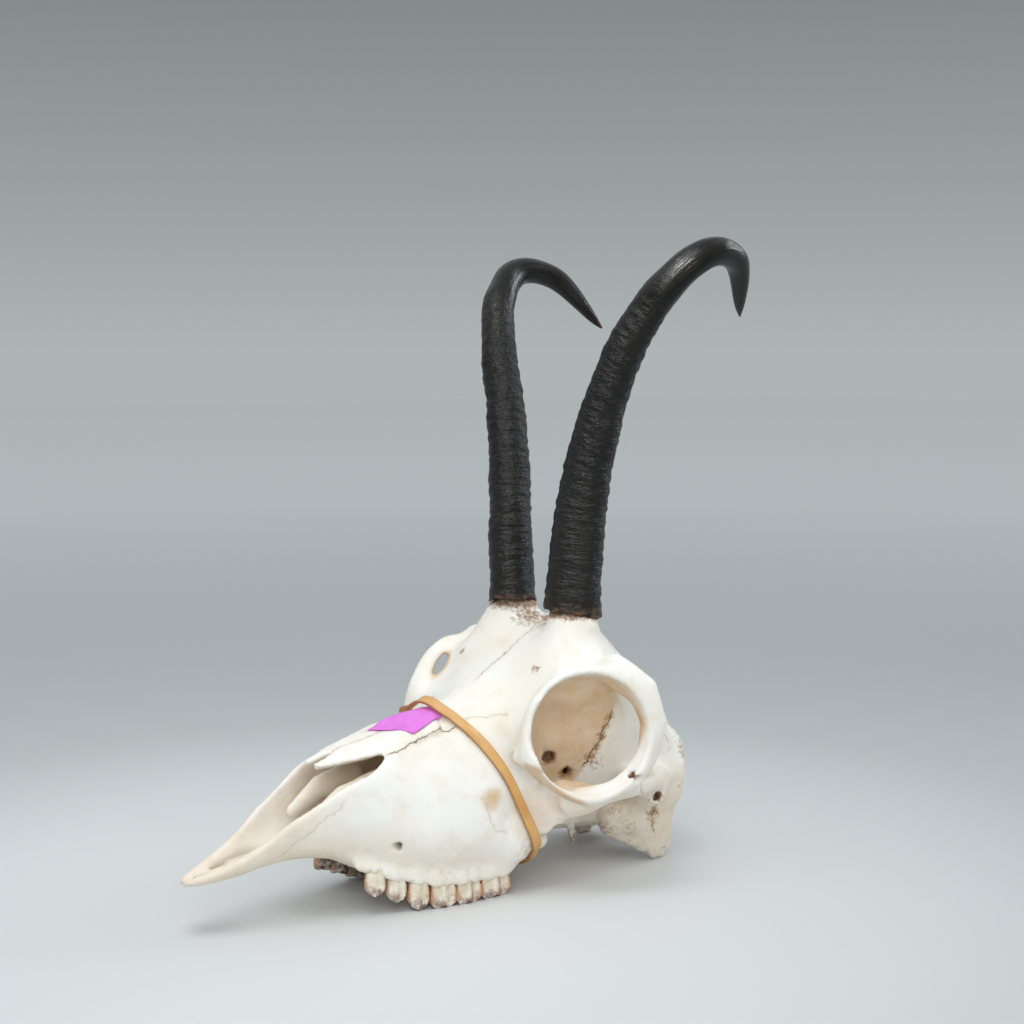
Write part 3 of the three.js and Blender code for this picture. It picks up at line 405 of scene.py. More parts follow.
# Rim of the socket, the bar behind it and the cheek arch
add(rim(ORBIT - 1.3 * ORBIT_AXIS, ORBIT_AXIS, 23.1, 0.7, 1.4), 5)
behind_eye = [(43.8, 61.5, 84), (50, 70.6, 75.2), (53.8, 73, 63), (53, 69, 49.5), (51.5, 62, 41.5)]
add(bar(behind_eye, [4.2, 4.6, 3.8, 3.2, 3]), 8)
cheek_arch = [(40, 44, 34), (48, 52, 37.6), (51, 61, 38.4), (49, 71, 38), (45, 80, 37.4), (37, 87, 36.6)]
add(bar(cheek_arch, [4.2, 3.2, 2.8, 3, 3.4, 4.5], (1, 0, 0), 1.6), 4)
cut(pit(ORBIT + 1 * ORBIT_AXIS, ORBIT_AXIS, 22.2, 10), 0.5)
jaw_muscle_hollow = egg((46, 16.6, 40), (16.5, 14, 12.4))
cut(jaw_muscle_hollow, 0.7)
below_rim = [(42, 20.6, 44.2), (45.1, 26.2, 37.5), (48.1, 32.3, 33.3), (50.8, 38.3, 31.1)]
rim_groove = bar(below_rim, [7.2, 7.4, 7.0, 6.0])
cut(rim_groove, 0.6)
add(bar([(34, 78, 36), (33, 90, 34), (27, 100, 36)], [5, 6, 5]), 6)
# Crest of the nape with the sunken back of the head, and the neck joint
nape = [(0, 111, 54), (12, 111.5, 50), (22, 109.5, 44), (27, 106, 36), (28, 103, 27)]
add(bar(nape, [4, 3.2, 3, 3.2, 4.5]), 6)
cut(egg((0, 124, 36), (22, 13, 16)), 5)
add(egg((12.5, 104, 13), (7, 9.5, 9), 0.44, 0.35), 4)
# Ear tube, the blade behind it, the base of the braincase and the ear capsule
add(bar([(26, 88, 26), (38.6, 86.4, 30)], [4.8, 3.4]), 2.5)
cut(bar([(30, 87.6, 28), (44, 84.9, 31.6)], [1.7, 2.1]), 0.4)
add(bar([(27, 98, 26), (25.6, 98, 15), (23.4, 101, 6.2)], [9, 8.6, 6.8], (1, 0.15, -0.1), 2.2), 5)
add(bar([(16, 84, 14), (20, 92, 8.5)], [5, 4.2]), 5)
add(loft([
    (34, 17, 25, 5, 6, 5),
    (50, 15, 27, 6, 7, 6),
    (66, 13.5, 28, 8, 10, 9),
    (84, 12, 28, 10, 13, 12),
    (100, 10, 28, 12, 14, 12),
    (106, 9, 20, 12, 12, 8),
], 2.4), 6)
add(egg((17, 85, 15.5), (5.4, 8.5, 6), -0.26, 0.35), 3)
add(bar([(21, 80, 21), (24, 88, 18)], [4, 5]), 5)
# Pterygoid plates with their hooks, and the channel between them
add(bar([(11, 34, 23), (10, 46, 22.6), (9.6, 60, 22)], [6.4, 5.6, 4.6], (1, 0, 0), 3.2), 2.5)
add(bar([(9.4, 62, 21), (9, 68, 16.5), (9, 69.5, 7.6)], [2.8, 1.9, 0.8]), 2)
cut(loft([
    (22, 6, 22, 6, 6, 5),
    (34, 4, 24, 7.4, 7.4, 6),
    (46, 0, 22, 7.2, 7.4, 5),
    (60, -4, 15.5, 7, 7, 4),
], 2.4), 1.5)
# The great hole at the back, the brain's hollow, and the small holes for nerves and vessels
cut(bar([(0, 118, 24.5), (0, 104, 25.5), (0, 92, 30)], [8.8, 8.4, 10]), 1.5)
brain_hollow = egg((0, 76, 52), (25, 25, 27))
cut(brain_hollow, 2)
cut(bar([(24, 39.5, 83.5), (23, 42, 76)], [1.5, 1.3]), 0.8)
cut(bar([(24, 38, 84.5), (23, 28, 76.5), (20, 20, 70.5)], [1.6, 1.8, 1.2]), 2.5)
cut(bar([(26.5, -25, 24.5), (19, -15, 25.5)], [1.8, 1.6]), 0.8)
cut(bar([(28, 47, 47.7), (12, 51.6, 46.2)], [2.6, 2.2]), 0.6)
cut(bar([(27, 55, 42.4), (13, 60, 38.6)], [1.6, 1.4], (0, 0.8, -0.2), 1.0), 0.6)
cut(bar([(62, 61, 43.4), (46, 63.5, 44.8)], [2.1, 2.0], (0, 0, 1), 1.3), 0.6)

# Horn pedicle, cut level where the sheath starts, and the core above it
CORE_FOOT = np.array((19.1, 61.1, 101.0))
CORE_LEAN = np.array(Vector((2.4, 0.6, 26)).normalized())
add(bar([(22, 55, 78), (20, 60.2, 93), CORE_FOOT], [14, 10.4, 8.6]), 9)
cut(lambda x, y, z: np.maximum(
    CORE_FOOT[2] - (x - CORE_FOOT[0]) * 0.09 - z,
    np.sqrt((x - 21) ** 2 + (y - 61) ** 2 + (z - 112) ** 2) - 20,
), 0.8)
add(bar([CORE_FOOT - 6 * CORE_LEAN, CORE_FOOT + 32 * CORE_LEAN], [7.5, 4.9]), 1)

# Tooth sockets, from the front of the row to its rear. Each tooth: middle of its outer face as x
# and y, length along the row, width, turn, gum line and tip height.
TEETH = [
    ("premolar_2", 20.5, -27.8, 7.4, 5.6, 0.25, 13.8, 7.0),
    ("premolar_3", 22.6, -20.2, 7.2, 7.0, 0.27, 11.0, 3.9),
    ("premolar_4", 25.0, -12.3, 7.8, 8.0, 0.27, 8.8, 0.5),
    ("molar_1", 27.4, -3.2, 9.6, 9.2, 0.14, 7.4, -0.5),
    ("molar_2", 28.5, 7.2, 10.4, 9.6, 0.03, 6.8, -0.5),
    ("molar_3", 28.2, 19.4, 13.0, 9.2, -0.03, 6.6, -0.5),
]


def socket(x0, y0, length, width, turn, gum):
    """The hole that a tooth's root sits in, open below."""
    def form(x, y, z):
        dx, dy = x - x0, y - y0
        across = (dx * np.cos(turn) - dy * np.sin(turn) + width / 2) / (0.30 * width + 0.3)
        down = (dy * np.cos(turn) + dx * np.sin(turn)) / (0.33 * length + 0.3)
        wall = ((across ** 4 + down ** 4) ** 0.25 - 1) * 0.35 * width
        return np.maximum(wall, z - gum - 2.2)
    return form


gum_ridge = [
    (17.2, -33, 17.8), (18.8, -28, 16.0), (20.6, -20, 13.4), (23, -12, 11.2),
    (25.4, -3, 9.7), (26.4, 7, 9), (26.2, 17, 8.8), (25.6, 25, 9.4),
]
add(bar(gum_ridge, [0.9, 1.3, 1.3, 1.4, 1.5, 1.5, 1.5, 1.4]), 6)
# The roots swell the bone above them, except over the first small tooth
for name, x0, y0, length, width, turn, gum, tip in TEETH[1:]:
    for lobe in (-0.24, 0.24) if name.startswith("molar") else (0,):
        root_y = y0 + lobe * length
        add(bar([(x0 - 1.9, root_y, gum + 2), (x0 - 2.6, root_y, gum + 10)], [2.0, 0.6]), 2)
for name, x0, y0, length, width, turn, gum, tip in TEETH:
    cut(socket(x0, y0, length, width, turn, gum), 0.6)


def bone(x, y, z):
    """How far points lie outside the bone, in millimetres, negative inside."""
    x = np.abs(x)
    d = face(x, y, z)
    for way, form, soft in clay:
        d = way * blend(way * d, form(x, y, z), soft)
    return d


def outwards(points):
    """The direction out of the bone at points."""
    e = 0.3
    steps = []
    for axis in range(3):
        shift = np.zeros(3)
        shift[axis] = e
        steps.append(bone(*(points + shift).T) - bone(*(points - shift).T))
    normals = np.stack(steps, 1)
    return normals / np.maximum(np.linalg.norm(normals, axis=1, keepdims=True), 1e-9)


def lumps(points, size, seed, waves=22):
    """Even random unevenness between about -1 and 1, with bumps of one size in millimetres."""
    rng = np.random.default_rng(seed)
    ways = rng.normal(size=(waves, 3))
    lengths = np.linalg.norm(ways, axis=1, keepdims=True)
    ways *= (2 * np.pi / size) * rng.uniform(0.7, 1.3, (waves, 1))
    ways /= lengths
    return np.sin(points @ ways.T + rng.uniform(0, 2 * np.pi, waves)).sum(1) / np.sqrt(waves)


# The surface is drawn from samples 1.1 mm apart
GRID = 1.1
xs = np.arange(0, 62, GRID, dtype=np.float32)
ys = np.arange(-98, 118, GRID, dtype=np.float32)
zs = np.arange(-4, 140, GRID, dtype=np.float32)
half = bone(xs[:, None, None], ys[None, :, None], zs[None, None, :])
whole = np.concatenate([half[:0:-1], half], 0).astype(np.float32)
volume = openvdb.FloatGrid(4 * GRID)
volume.copyFromArray(whole)
corners, triangles, quads = volume.convertToPolygons(0.0, 0.0)
skin = corners * GRID + np.array((-(len(xs) - 1) * GRID, ys[0], zs[0]))

# Sutures, cracks and seams between the bones, as lines on the left half: strength, then points.
# Lines in one set keep well apart, so that each vertex belongs to the nearest line of its set.
SUTURES = {
    "seam_a": [
        (0.8, [
            (15.8, -19.7, 56.1), (16.2, -14.9, 57.4), (14.4, -5.3, 59.4), (14.2, 2.3, 61.7),
            (13.4, 11.7, 62.2),
        ]),
        (0.2, [
            (12.4, -66, 22), (13, -60, 26.4), (13.8, -54.6, 30.6), (16.4, -46.6, 36.6), (18.9, -39.5, 42.4),
        ]),
        (0.95, [
            (33.1, 69.1, 63.7), (31.4, 67, 57.5), (30.1, 65.8, 52.8), (27.6, 64, 47.6), (24.6, 62.9, 42.6),
        ]),
        (0.5, [(0, 84, 91), (9, 83, 91), (20, 79, 89), (28, 77, 82), (32, 78, 72)]),
        (0.4, [(48.6, 66, 41), (50.6, 69.5, 36.5), (49, 73, 33)]),
        (0.4, [(0, 12, 14.6), (9, 12.5, 14.4), (16, 10, 12.5)]),
        (0.5, [(0, 84, 12), (10, 84, 13)]),
    ],
    "seam_b": [
        (0.28, [(10.8, 12.6, 64.6), (15.8, 20.3, 64.9), (23.9, 26.3, 66.6)]),
        (0.2, [
            (29.8, 11, 38.5), (30.1, 12.4, 36.1), (30.6, 14.6, 31), (31.4, 16.6, 26.4), (31.6, 21, 25.2),
        ]),
        (0.45, [(31, 84, 67), (33.5, 90, 58), (32, 98, 49)]),
        (0.5, [(0, 105, 63), (13, 104, 60), (23, 101, 53), (30, 98, 44)]),
        (0.35, [(45, 66, 80), (50.4, 71.5, 70)]),
        (0.9, [(32.2, 91.6, 26.5), (30.9, 92.4, 20.6), (30.4, 93.2, 13)]),
    ],
}
MIDLINE = along((-60, -30, 10, 20, 35, 50, 80, 110), (0, 0, 0.4, 1.6, 2.2, 1.6, 0, 0))


def nearest_line(points, normals, lines):
    """For each point: how far to the side of the nearest line it lies, if it is there, and its strength."""
    best = np.full(len(points), 9.0)
    found = np.zeros((len(points), 3))
    found[:, 0] = 9.0
    for strength, line in lines:
        line = np.array(line, float)
        for i, (a, b) in enumerate(zip(line, line[1:])):
            d = b - a
            length = np.linalg.norm(d)
            reach = (points - a) @ d / length
            close = points - a - np.outer(np.clip(reach, 0, length) / length, d)
            side = np.cross(d / length, normals)
            side /= np.maximum(np.linalg.norm(side, axis=1, keepdims=True), 1e-6)
            lateral = (close * side).sum(1)
            away = np.linalg.norm(close, axis=1)
            before = np.maximum(-reach, 0) if i == 0 else 0
            after = np.maximum(reach - length, 0) if i == len(line) - 2 else 0
            there = np.clip(1 - (before + after) / 1.5, 0, 1) * np.clip((3.4 - away) / 1.2, 0, 1)
            closer = away < best
            best = np.where(closer, away, best)
            found[closer] = np.stack([lateral, there, np.full(len(points), strength)], 1)[closer]
    return found


normals = outwards(skin)
folded = skin.copy()
folded[:, 0] = np.abs(folded[:, 0])
folded_normals = normals.copy()
folded_normals[:, 0] *= np.where(skin[:, 0] < 0, -1, 1)
seams = {name: nearest_line(folded, folded_normals, lines) for name, lines in SUTURES.items()}
x, y, z = folded.T
roof = np.clip((z - nose_edge(y) + 6) / 4, 0, 1) * np.clip((folded_normals[:, 2] - 0.05) / 0.3, 0, 1)
under = np.clip((-folded_normals[:, 2] - 0.2) / 0.3, 0, 1) * np.clip((24 - z) / 4, 0, 1)
under *= np.clip((100 - y) / 4, 0, 1)
beside_middle = skin[:, 0] - np.where(z > 30, MIDLINE(y), 0)
seams["seam_c"] = np.stack([beside_middle, np.maximum(roof, under), np.full(len(skin), 0.55)], 1)


def near(points, spots):
    """How close points are to any of the spots, each given as x, y, z, reach and strength."""
    total = np.zeros(len(points))
    for sx, sy, sz, reach, strength in spots:
        away = np.sqrt((points[:, 0] - sx) ** 2 + (points[:, 1] - sy) ** 2 + (points[:, 2] - sz) ** 2)
        total = np.maximum(total, strength * np.clip(1.25 - away / reach, 0, 1))
    return total


# Where the bone is tan: inside the nose, the eye sockets and the braincase. The same mask also paints
# tan-grey shade in the jaw muscle hollow, on the cheek below the socket, on the base behind the teeth and
# faintly on faces that look down
out, deep = round_axis(ORBIT, ORBIT_AXIS)(x, y, z)
in_socket = np.clip((np.interp(z, (48, 62), (-5, 0.8)) - deep) / 2.5, 0, 1)
in_socket *= np.clip((23.2 - out) / 1.2, 0, 1)
on_roof = (np.abs(nasal_top(x, y, z)) < 0.8) & (folded_normals[:, 2] > 0)
in_nose = np.clip((1.2 - nose_passage(x, y, z)) / 1.0, 0, 1) * np.interp(y, (-80, -50, -25), (0.0, 0.4, 1.0))
in_brain = np.clip((2.5 - brain_hollow(x, y, z)) / 1.5, 0, 1)
# Painted shade: faces that look down get a faint tan-grey tint
low_side = np.clip(-folded_normals[:, 2], 0, 1) * 0.35
in_nose[on_roof] = 0
behind_suture = y - (62.9 + 0.294 * (z - 42.6)) - 0.35 * lumps(skin, 5, 8)
inner_plate = np.clip(behind_suture / 1.2, 0, 1) * np.clip((70 - z) / 6, 0, 1)
in_socket *= 1 - 0.78 * inner_plate
# Painted shade: the jaw muscle hollow and the groove under the rim, which lie in the rim's shadow, are
# tinted tan-grey
in_hollow = np.clip((1.6 - jaw_muscle_hollow(x, y, z)) / 1.2, 0, 1)
in_groove = np.clip((1.6 - rim_groove(x, y, z)) / 1.2, 0, 1) * np.clip((50 - y) / 8, 0, 1)
in_hollow = np.maximum(in_hollow, in_groove)
# Painted shade: tan-grey on the cheek below the socket, and on the base behind the teeth where the skull
# shades it
cheek = near(folded, [(30, 36, 28, 12, 0.5), (36, 42, 33, 10, 0.5), (42, 44, 37, 7, 0.35)])
base = np.clip((y - 60) / 14, 0, 1) * np.clip((42 - z) / 9, 0, 1)
snout = np.interp(y, (-90, -60, -45), (0.42, 0.30, 0.0))
tan_and_painted_shade = np.maximum.reduce([
    in_socket * 0.9, in_nose * 0.45, in_brain, low_side, in_hollow * 0.85, cheek, base * 0.36, snout,
])
# Where dried tissue left brown stains. The spots in the valley between the horn bases and under the cheek
# arch are painted shade as well.
stain_and_shade_spots = [
    (8, 61, 95, 9, 0.95), (0, 64, 95.5, 9, 0.9), (0, 112, 48, 9, 0.7), (14, 112, 47, 8, 0.8),
    (24, 109, 42, 8, 0.8), (28, 105, 30, 7, 0.6),
    (36, 93.5, 28.5, 4.5, 1.0), (30, 92, 21, 5, 0.9), (23, 86, 17, 7, 0.7), (17, 80, 15, 7, 0.7),
    (22.6, 97.5, 3, 6, 0.45), (9, 69.5, 10, 7, 0.8), (18, 50.4, 47, 4.4, 1.3), (19, 57.6, 40.4, 4.4, 1.3),
    (28, 64, 43, 7, 0.7), (51, 63, 44, 3.4, 1.2), (24, 39.5, 82, 2.6, 0.9), (26, -25, 24.5, 2.8, 0.45),
    (19.8, -30, 24.3, 1.6, 0.5), (0, 66, 97, 7, 0.7), (12, 104, 13, 8, 0.4), (0, 100, 18, 10, 0.6),
    (10, 50, 20, 9, 0.6), (36, 88, 31, 5, 0.6), (38, 86.4, 30.4, 4.2, 1.2),
    (32.6, 68.6, 61.6, 2.6, 0.9), (31.6, 67.3, 58, 2.4, 0.9), (30.6, 66.2, 54.2, 3, 1.0),
    (28.8, 64.9, 50, 2.6, 1.0),
    (27, 63.8, 46, 3.6, 1.0), (31.4, 91.8, 23.5, 3.4, 1.1), (30.6, 92.8, 17, 2.6, 0.9),
    (34, 90, 28, 3.5, 0.9),
    (26, 76, 22, 5, 0.8), (30, 80, 25, 4, 0.8), (20, 90, 8, 5, 0.7), (25.5, 102, 5, 4, 0.5),
    (36, 74, 33, 5, 0.6),
]
for name, x0, y0, length, width, turn, gum, tip in TEETH:
    stain_and_shade_spots.append((x0 - width / 2, y0, gum, width * 0.62, 0.9))
    stain_and_shade_spots.append((x0 - width * 0.9, y0, gum + 2, width * 0.7, 0.8))
    stain_and_shade_spots.append((x0 - width * 0.3, y0 + length / 2, gum, 2.6, 0.8))
brown_stain_and_shade = near(folded, stain_and_shade_spots)
brown_stain_and_shade = np.maximum(brown_stain_and_shade, in_nose * near(folded, [(16, -20, 52, 9, 0.5), (10, -10, 40, 14, 0.5)]))
core_edge = np.hypot(x - CORE_FOOT[0], y - CORE_FOOT[1])
brown_stain_and_shade = np.maximum(brown_stain_and_shade, np.clip((z - 97.4) / 2.6, 0, 1) * np.clip((core_edge + 40) / 40, 0, 1))
# Where the bone is porous: round the horns, the nape, the tooth row and the base
porous = near(folded, [
    (19, 61, 100, 14, 0.5), (14, 110, 48, 16, 1.0), (26, 104, 32, 14, 0.9), (20, 86, 14, 16, 1.0),
    (26, 2, 9, 16, 0.6), (22, -22, 12, 12, 0.5), (10, 55, 22, 12, 0.8), (24, 60, 45, 10, 0.8),
])
porous = np.maximum(porous, low_side * 0.8)

# Low relief: grooves along the seams, flutes on the blades, and the unevenness of grown bone
relief = 0.16 * lumps(skin, 17, 3) + 0.07 * lumps(skin, 6, 4) + 0.12 * porous * lumps(skin, 2.6, 5, 40)
for name in ("seam_a", "seam_b", "seam_c"):
    side, there, strength = seams[name].T
    relief -= 0.28 * strength * there * np.exp(-(side / 0.9) ** 2)
blade = np.clip((24 - z) / 6, 0, 1) * np.clip((x - 16) / 3, 0, 1) * np.clip((y - 86) / 4, 0, 1)
relief += 0.4 * blade * np.sin(2 * np.pi * (y + 0.12 * z) / 4.6)
crest = near(folded, [(0, 113, 52, 8, 1), (13, 113, 49, 8, 1), (24, 110, 43, 8, 1), (29, 105, 33, 8, 1)])
relief += 0.35 * crest * lumps(skin, 4.2, 7, 40)
torn = near(folded, [
    (28, 30, 17.5, 6, 1), (29.5, 36, 21, 6, 1), (32, 42, 26, 6, 1),
    (27, 80, 20, 8, 0.8), (18, 92, 8, 8, 0.7),
])
relief += 0.55 * torn * lumps(skin, 3.4, 9, 40)
core = z > CORE_FOOT[2] - 1
relief[core] = 0
skin = skin + normals * relief[:, None]
skin[:, 2] = np.maximum(skin[:, 2], 0.02)

skull_mesh = bpy.data.meshes.new("skull_bone")
skin[:, 1] -= MIDDLE_Y
faces = [tuple(q) for q in quads.tolist()] + [tuple(t) for t in triangles.tolist()]
skull_mesh.from_pydata((skin / 1000).tolist(), [], faces)
skull_mesh.validate()
clean = bmesh.new()
clean.from_mesh(skull_mesh)
if clean.calc_volume(signed=True) < 0:
    bmesh.ops.reverse_faces(clean, faces=clean.faces)
for polygon in clean.faces:
    polygon.smooth = True
clean.to_mesh(skull_mesh)
clean.free()


def store(mesh, name, values):
    """Keeps a number or a vector for each vertex, for the material to read."""
    kind, field = ("FLOAT", "value") if values.ndim == 1 else ("FLOAT_VECTOR", "vector")
    mesh.attributes.new(name, kind, "POINT").data.foreach_set(field, values.astype(np.float32).ravel())


for name, values in (("tan_and_painted_shade", tan_and_painted_shade), ("brown_stain_and_shade", brown_stain_and_shade), ("porous", porous), *seams.items()):
    store(skull_mesh, name, values)
skull = bpy.data.objects.new("skull_bone", skull_mesh)
bpy.context.scene.collection.objects.link(skull)
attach(skull, "root")
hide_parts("skull")

# Bone, boiled and bleached: matt and chalky white with cream clouds, tan inside the nose, sockets and
# braincase, painted tan-grey shade in the hollows and underneath, brown stains with some painted shade, fine
# fibres along the face, pores near the horns, and dark lines along the sutures.
# Real fibres and pores are about a tenth of a millimetre wide. They are drawn up to ten times
# coarser, because they wouldn't show.
dry_bone, tree, shader = new_material("dry_bleached_bone")
place = node(tree, "TexCoord", out="Object")
along_face = node(tree, "Mapping", {"Vector": place, "Scale": (1.0, 0.12, 1.0)})
# Each noise: what it lies on, the size of its clouds in millimetres, its detail and its roughness
noises = []
for seed, (under, size, detail, rough) in enumerate((
    (place, 26, 3.0, 0.5),
    (place, 9, 3.0, 0.6),
    (place, 1.6, 3.0, 0.6),
    (place, 0.55, 2.0, 0.6),
    (along_face, 1.1, 3.0, 0.6),
    (place, 2.2, 3.0, 0.7),
    (place, 7.0, 2.0, 0.5),
)):
    moved = node(tree, "VectorMath", [under, (seed, seed * 0.7, -seed)], operation="ADD")
    clouding = {"Vector": moved, "Scale": 1000 / size, "Detail": detail, "Roughness": rough}
    noises.append(node(tree, "TexNoise", clouding))
clouds, patches, specks, grain, fibres, wander, sway = noises

stain_and_shade_here = node(tree, "Attribute", out="Fac", attribute_name="brown_stain_and_shade")
speckle = node(tree, "MapRange", [specks, 0.3, 0.7, -0.45, 0.35])
stain_and_shade = node(tree, "Math", [stain_and_shade_here, speckle], operation="ADD")
stain_and_shade = node(tree, "MapRange", [stain_and_shade, 0.35, 0.95, 0.0, 0.85])
stain_and_shade_there = node(tree, "MapRange", [stain_and_shade_here, 0.02, 0.2])
stain_and_shade = node(tree, "Math", [stain_and_shade, stain_and_shade_there], operation="MULTIPLY")
tan_and_shade_here = node(tree, "Attribute", out="Fac", attribute_name="tan_and_painted_shade")
tan_and_shade_patches = node(tree, "MapRange", [patches, 0.25, 0.7, 0.65, 1.0])
tanned_and_shaded = node(tree, "Math", [tan_and_shade_here, tan_and_shade_patches], operation="MULTIPLY")
PORE_SPACING = 1.5
cells = node(tree, "TexVoronoi", {"Vector": place, "Scale": 1000 / PORE_SPACING})
dots = node(tree, "MapRange", [cells, 0.12, 0.30, 1.0, 0.0])
porous_here = node(tree, "Attribute", out="Fac", attribute_name="porous")
porous_patches = node(tree, "MapRange", [patches, 0.35, 0.6])
pores = node(tree, "Math", [porous_here, porous_patches], operation="MULTIPLY")
pores = node(tree, "Math", [dots, pores], operation="MULTIPLY")
colour = paint("#f7f6f2")
for amount, code in (
    (node(tree, "MapRange", [clouds, 0.35, 0.68]), "#f1ecdf"),
    (node(tree, "MapRange", [patches, 0.52, 0.72, 0.0, 0.45]), "#e6dcc2"),
    # tan inside the bone, and painted tan-grey shade in the hollows and underneath
    (tanned_and_shaded, "#d3ae80"),
    # brown stains, with painted shade in the valley between the horn bases and under the cheek arch
    (stain_and_shade, "#8a5a30"),
    (node(tree, "Math", [pores, 0.6], operation="MULTIPLY"), "#a98a62"),
):
    colour = node(tree, "Mix", {0: amount, 6: colour, 7: paint(code)}, out=2, data_type="RGBA")
height = 0.0
for pattern, rise in ((grain, 0.06), (fibres, 0.10), (pores, -0.35)):
    height = node(tree, "Math", [pattern, rise, height], operation="MULTIPLY_ADD")

# A suture strays to both sides of its line, in fine waves and in wide ones
FINE_WAVES = 2.6
WIDE_WAVES = 4.5
stray = -(FINE_WAVES + WIDE_WAVES) / 2
for pattern, reach in ((wander, FINE_WAVES), (sway, WIDE_WAVES)):
    stray = node(tree, "Math", [pattern, reach, stray], operation="MULTIPLY_ADD")
for name, width in (("seam_a", 0.28), ("seam_b", 0.26), ("seam_c", 0.22)):
    seam = node(tree, "Attribute", out="Vector", attribute_name=name)
    side, there, strength = node(tree, "SeparateXYZ", [seam]).node.outputs
    strength = node(tree, "Math", [there, strength], operation="MULTIPLY")
    off = node(tree, "Math", [side, stray], operation="ADD")
    off = node(tree, "Math", [off], operation="ABSOLUTE")
    halo = node(tree, "MapRange", [off, 0.2, 2.2, 0.30, 0.0])
    halo = node(tree, "Math", [halo, strength], operation="MULTIPLY")
    line = node(tree, "MapRange", [off, width * 0.4, width * 1.5, 1.0, 0.0])
    line = node(tree, "Math", [line, strength], operation="MULTIPLY")
    for amount, code in ((halo, "#d9bd8f"), (line, "#5e4128")):
        colour = node(tree, "Mix", {0: amount, 6: colour, 7: paint(code)}, out=2, data_type="RGBA")
    height = node(tree, "Math", [line, -0.5, height], operation="MULTIPLY_ADD")
tree.links.new(colour, shader.inputs["Base Color"])
tree.links.new(node(tree, "MapRange", [specks, 0.3, 0.7, 0.5, 0.68]), shader.inputs["Roughness"])
shader.inputs["Specular IOR Level"].default_value = 0.35
bump = node(tree, "Bump", {"Height": height, "Distance": 0.001, "Strength": 0.55})
tree.links.new(bump, shader.inputs["Normal"])
skull_mesh.materials.append(dry_bone)

# Horn sheaths
# Black keratin slipped over a bony core, one each side. The lower two thirds carry close rings and
# rough flakes, the hooked end is smooth and finely striped, and the rim at the base is ragged.
HORNS = [
    ("horn_sheath_left", 1, [
        (18.7, 61.1, 101.8), (21.2, 61.6, 129.1), (24.9, 62.9, 152.6), (32, 64.8, 177.3),
        (42.4, 67.9, 201.7), (53.6, 76, 222.2), (60.3, 90.1, 234.6), (57.7, 106.6, 233.2),
        (43.6, 122.8, 212.8),
    ]),
    ("horn_sheath_right", -1, [
        (-19.3, 61, 101.8), (-21.6, 61.6, 127.8), (-25, 63.7, 151.2), (-31.7, 66.6, 176),
        (-41.8, 70.5, 200.4), (-52.9, 79.3, 220.7), (-59.9, 93.8, 232.7), (-57.3, 110.3, 230.5),
        (-43.6, 125.8, 209.3),
    ]),
]
STOPS = (0, 0.1, 0.25, 0.4, 0.6, 0.75, 0.85, 0.93, 0.98, 1)
half_long = along(STOPS, (10.6, 10.2, 9.2, 8.0, 6.7, 5.7, 4.6, 3.1, 1.5, 0.4))
half_short = along(STOPS, (8.8, 8.4, 8.0, 7.5, 6.6, 5.7, 4.6, 3.1, 1.5, 0.4))
SHEATH_SIDES = 72
SHEATH_RINGS = 420
SOCKET_SHARE = 0.06  # the part of the grid that lines the socket
SOCKET_DEPTH = 36.4
RING_SPACING = 5.6


def sheet(name, across, down, place_point, welded=True):
    """A grid of quads laid on a shape: place_point takes the grid's two coordinates, both from 0 to 1."""
    body = bmesh.new()
    bmesh.ops.create_grid(body, x_segments=across, y_segments=down, size=0.5)
    u = np.array([v.co.x + 0.5 for v in body.verts])
    v = np.array([w.co.y + 0.5 for w in body.verts])
    points = place_point(u, v)
    for vert, point in zip(body.verts, points):
        vert.co = (point[0] / 1000, (point[1] - MIDDLE_Y) / 1000, point[2] / 1000)
    if welded:
        bmesh.ops.remove_doubles(body, verts=body.verts, dist=1e-6)
    bmesh.ops.recalc_face_normals(body, faces=body.faces)
    for polygon in body.faces:
        polygon.smooth = True
    mesh = bpy.data.meshes.new(name)
    body.to_mesh(mesh)
    body.free()
    made = bpy.data.objects.new(name, mesh)
    bpy.context.scene.collection.objects.link(made)
    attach(made, "root")
    return made


def millimetres(mesh):
    """The vertices of a mesh in the skull's own millimetres."""
    flat = np.empty(len(mesh.vertices) * 3, np.float32)
    mesh.vertices.foreach_get("co", flat)
    points = flat.reshape(-1, 3).astype(float) * 1000
    points[:, 1] += MIDDLE_Y
    return points


def smooth_line(points, looped=False):
    """A curve through points whose speed evens out the spacing, as places for 0 to 1 of its length."""
    p = np.array(points, float)
    if looped:
        p = np.concatenate([p[-2:], p, p[:3]])
    else:
        p = np.concatenate([[2 * p[0] - p[1]], p, [2 * p[-1] - p[-2]]])
    steps = []
    for a, b, c, d in zip(p, p[1:], p[2:], p[3:]):
        k = [np.sqrt(np.linalg.norm(m - n)) for m, n in ((b, a), (c, b), (d, c))]
        from_b = k[1] * ((b - a) / k[0] - (c - a) / (k[0] + k[1]) + (c - b) / k[1])
        from_c = k[1] * ((c - b) / k[1] - (d - b) / (k[1] + k[2]) + (d - c) / k[2])
        t = np.linspace(0, 1, 60, endpoint=False)[:, None]
        rise = (3 - 2 * t) * t * t
        steps.append(b + rise * (c - b) + t * (1 - t) * ((1 - t) * from_b - t * from_c))
    if looped:
        path = np.concatenate(steps[1:len(points) + 1] + [steps[1][:1]])
    else:
        path = np.concatenate(steps + [p[-2:-1]])
    gone = np.concatenate([[0], np.cumsum(np.linalg.norm(np.diff(path, axis=0), axis=1))])

    def at(t):
        return np.stack([np.interp(np.asarray(t) * gone[-1], gone, path[:, axis]) for axis in range(3)], -1)
    return at, gone[-1]


